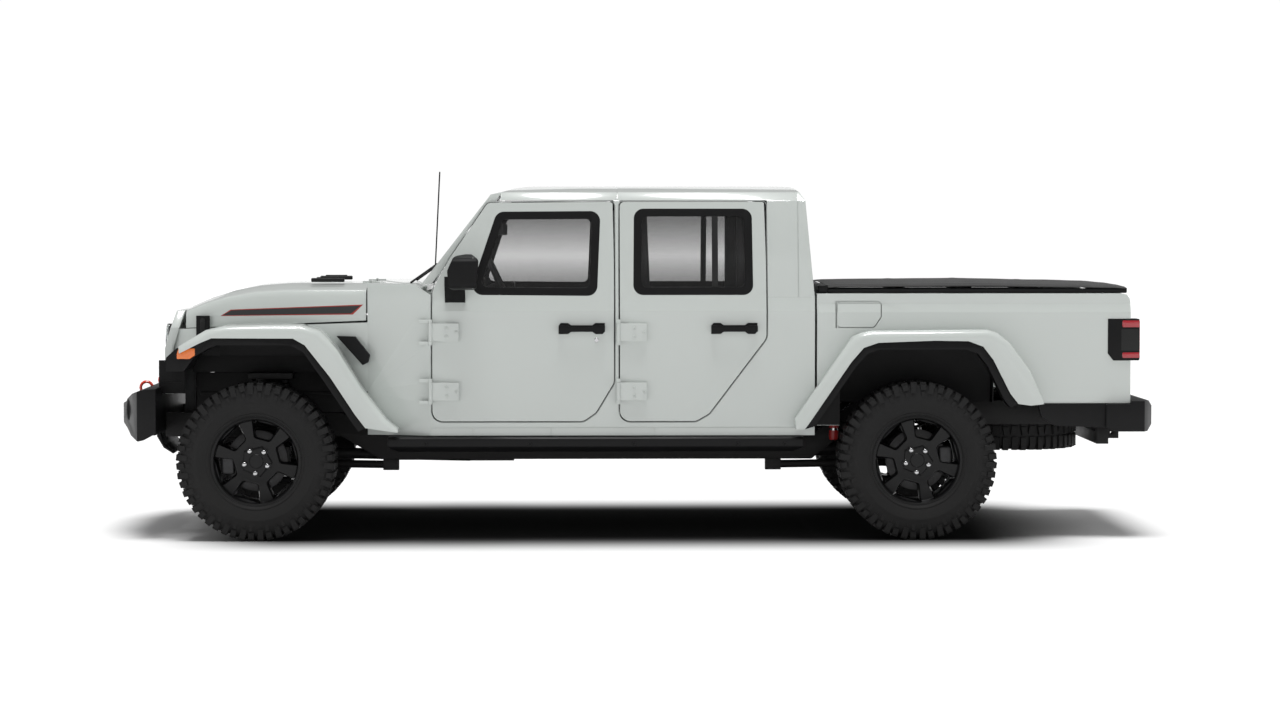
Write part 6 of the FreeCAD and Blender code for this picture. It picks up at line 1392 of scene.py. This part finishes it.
# %% Coil springs
def coil(x, y, low, high, turns, wire=0.008, radius=0.061):
    """A coil spring between two heights, with its wire closed at both ends."""
    bpy.ops.object.select_all(action="DESELECT")
    bpy.ops.mesh.primitive_circle_add(vertices=10, radius=wire, fill_type="NGON", location=(0, 0, 0),
                                      rotation=(math.pi / 2, 0, 0))
    bpy.ops.object.transform_apply(rotation=True)
    edit()
    bpy.ops.transform.translate(value=(radius, 0, low + wire))
    steps = int(22 * turns)
    modified(done(), "climb", "SCREW", angle=2 * math.pi * turns, screw_offset=high - low - 2 * wire,
             steps=steps, render_steps=steps, use_merge_vertices=True)
    edit()
    bpy.ops.mesh.remove_doubles(threshold=0.00001)
    spring = closed_up()
    spring.location = (x, y, 0)
    spring = named("coil")
    smooth(50)
    return spring


spring_y = 0.535
spring_foot = 0.48
springs = []
for side in sides.values():
    for x, high, turns in ((axle_x["front"], 0.838, 6.5), (axle_x["rear"], 0.799, 6)):
        springs.append(coil(x, side * spring_y, spring_foot, high, turns))
    for x, high in ((axle_x["front"], 0.838), (axle_x["rear"], 0.799)):
        springs.append(turned("seat", [(0.066, 0), (0.066, 0.006), (0.03, 0.01), (0.028, 0.05)], 32,
                              (x, side * spring_y, spring_foot), "UP"))
        springs.append(turned("stop", [(0.034, 0), (0.034, 0.07), (0.026, 0.11), (0.012, 0.125)], 24,
                              (x, side * spring_y, high - 0.001), "DOWN"))
springs = trim_part(springs, "coil_springs", axle_paint, "black_steel")
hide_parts("springs_shocks")
print("spring faces:", len(springs.data.polygons))

# %% Shocks and reservoirs
def shock(name, foot, head):
    """A shock between two points: a painted tube, and a rubber boot with an end bush."""
    way = Vector(head) - Vector(foot)
    length = way.length
    tube = turned("tube", [(0.019, 0.02), (0.027, 0.024), (0.027, length * 0.6),
                           (0.023, length * 0.62)], 28, facing="UP")
    boot = turned("boot", [(0.024, length * 0.56), (0.027, length * 0.58), (0.0275, length * 0.92),
                           (0.02, length * 0.94), (0.02, length * 0.985)], 28, facing="UP")
    eye = turned("eye", [(0.02, -0.014), (0.02, 0.014)], 20, place=(0, 0, 0.016))
    for label, shapes, material in (("tube", [tube], axle_paint), ("boot", [boot, eye], black_plastic)):
        piece = joined(shapes, f"{name}_{label}")
        finished(pointed(piece, way, foot), material, "chassis", "black_steel")


reservoirs = {"rear": (1.079, 0.589, 0.51, 0.69, 0.0255, shock_red),
              "front": (-1.864, 0.535, 0.64, 0.76, 0.03, black_steel)}
for hand, side in sides.items():
    shock(f"front_shock_{hand}", (-1.864, side * 0.535, 0.485), (-1.864, side * 0.535, 0.838))
    shock(f"rear_shock_{hand}", (1.362, side * 0.535, 0.452), (1.084, side * 0.535, 0.598))
    for row, (x, y, low, high, size, material) in reservoirs.items():
        height = high - low
        can = turned(f"{row}_reservoir_{hand}", [(size * 0.86, 0), (size, 0.006), (size, height - 0.006),
                                                 (size * 0.86, height)], 28, (x, side * y, low), "UP")
        finished(can, material, "chassis", "black_steel")
        clamps = [turned("clamp", [(size * 1.012, 0), (size * 1.012, 0.012)], 28,
                         (x, side * y, low + height * share), "UP") for share in (0.28, 0.62)]
        trim_part(clamps, f"{row}_reservoir_bands_{hand}", bright_steel, "black_steel")
print("shocks ready")

# %% Discs and calipers
for (row, hand), (x, y, z) in wheel_places.items():
    body, reach = (f"knuckle_{hand}", -1) if row == "front" else ("chassis", 1)
    plate = copied(disc, f"{row}_brake_disc_{hand}", (x, y, z), hand == "right")
    finished(plate, disc_steel, body, "axle_iron")
    caliper = block(f"{row}_caliper_{hand}", about(x + reach * 0.152, 0.034),
                    about(y + sides[hand] * 0.025, 0.031), about(z, 0.072), 0.012, 3)
    finished(caliper, cast_silver, body, "axle_iron")
bpy.data.objects.remove(disc)
print("brakes ready")

# %% [markdown]
# ## Shields
#
# Behind each front wheel the bay is closed by a dark splash shield over the frame rail, so one doesn't see
# daylight through the truck. The white sides of the grille are covered down to the bumper by dark sheets.
# These sheets are painted shade: those sides of the grille lie in shadow. A shield is a thin pressed sheet: a
# block with a raised rib along it. The last sheet lines the arch ahead of the rear wheel, and its lower front
# corner is drawn forward.

# %% Splash shields, and dark sheets over the grille sides as painted shade
# The third and fourth sheets cover the grille's white sides. They are painted shade where those sides lie in
# shadow.
for hand, side in sides.items():
    shield = [block("shield", x, (side * inner, side * outer), z, edge) for x, inner, outer, z, edge in (
        ((-2.35, -1.56), 0.44, 0.444, (0.652, 0.868), 0.0015),
        ((-2.33, -1.58), 0.443, 0.45, (0.746, 0.764), 0.003),
        ((-2.535, -2.395), 0.586, 0.589, (0.762, 0.94), 0.001),
        ((-2.515, -2.415), 0.588, 0.591, (0.82, 0.832), 0.001),
        ((-2.31, -2.205), 0.606, 0.6075, (0.965, 1.035), 0.0005),
        ((1.03, 1.0935), 0.8056, 0.8068, (0.602, 0.86), 0))]
    for vertex in shield[-1].data.vertices:
        if vertex.co.z < 0.7 and vertex.co.x < 1.05:
            vertex.co.x -= 0.13
    trim_part(shield, f"splash_shield_and_shade_cover_{hand}", black_plastic, "black_plastic")
print("shields ready")

# %% [markdown]
# ## Door seals
#
# A soft seal runs round every door opening, a few millimetres below the paint. Its grey is painted: it stands
# for the white jamb half in shadow, and it keeps the shut lines from looking like black slots. It leaves a
# gap of three millimetres to the door, so the door swings freely. Each seal is a closed curve with a round
# section, laid along the outline of its door, whose corners are given as shares of the door's length and
# height.

# %% Seal outlines
def offset_corners(points, out):
    """Corners of an outline moved outward by a distance; the points run clockwise seen from the left."""
    moved = []
    for index, point in enumerate(points):
        before, after = Vector(points[index - 1]), Vector(points[(index + 1) % len(points)])
        here = Vector(point)
        first, second = (here - before).normalized(), (after - here).normalized()
        out_first, out_second = Vector((first.y, -first.x)), Vector((second.y, -second.x))
        bisector = (out_first + out_second).normalized()
        moved.append(here + bisector * (out / bisector.dot(out_first)))
    return moved


def filleted(points, radii, steps=6):
    """The outline with each corner replaced by an arc of its radius."""
    path = []
    for index, here in enumerate(points):
        back = points[index - 1] - here
        ahead = points[(index + 1) % len(points)] - here
        half = back.angle(ahead) / 2
        reach = min(radii[index] / math.tan(half), back.length * 0.45, ahead.length * 0.45)
        start, end = here + back.normalized() * reach, here + ahead.normalized() * reach
        for step in range(steps + 1):
            share = step / steps
            path.append(start * (1 - share) ** 2 + here * (2 * share * (1 - share)) + end * share ** 2)
    return path


def skin_y(z):
    """How far out the cab's side is at a height."""
    levels = [(0.0, 0.805), (1.207, 0.805), (1.26, 0.793), (1.79, 0.695), (1.9, 0.675)]
    for (low, first), (high, last) in zip(levels, levels[1:]):
        if z <= high:
            return first + (last - first) * (z - low) / (high - low)
    return levels[-1][1]


front_outline = [(0, 0), (0.832, 0), (0.9, 0.039), (1, 0.176), (1, 1), (0.304, 0.995), (0.095, 0.742),
                 (0.016, 0.624), (0, 0.587)]
rear_outline = [(0, 0), (0.519, 0), (0.608, 0.034), (1, 0.379), (1, 1), (0, 1)]
seal_radius, seal_out, seal_depth = 0.0023, 0.0056, 0.0075
door_foot, door_height = 0.624, 1.161
for hand, side in sides.items():
    for row, start, length, outline in (("front", -1.066, 0.961, front_outline),
                                        ("rear", -0.073, 0.776, rear_outline)):
        corners = [(start + length * a, door_foot + door_height * b) for a, b in outline]
        radii = [seal_out + (0.056 if z < 1.24 else 0.025) for x, z in corners]
        path = filleted(offset_corners(corners, seal_out), radii)
        line = bpy.data.curves.new("seal_line", "CURVE")
        line.dimensions = "3D"
        line.bevel_depth = seal_radius
        line.bevel_resolution = 1
        spline = line.splines.new("POLY")
        spline.points.add(len(path) - 1)
        for point, place in zip(spline.points, path):
            point.co = (place.x, side * (skin_y(place.y) - seal_depth), place.y, 1)
        spline.use_cyclic_u = True
        seal = bpy.data.objects.new("seal_line", line)
        bpy.context.scene.collection.objects.link(seal)
        select_only(seal)
        bpy.ops.object.convert(target="MESH")
        seal = named(f"{row}_door_seal_{hand}")
        bpy.ops.object.shade_smooth()
        # The seal's grey is painted shade, standing for the white jamb half in shadow.
        finished(seal, shaded_jamb_grey, "chassis", "paint_white")
print("door seals ready")
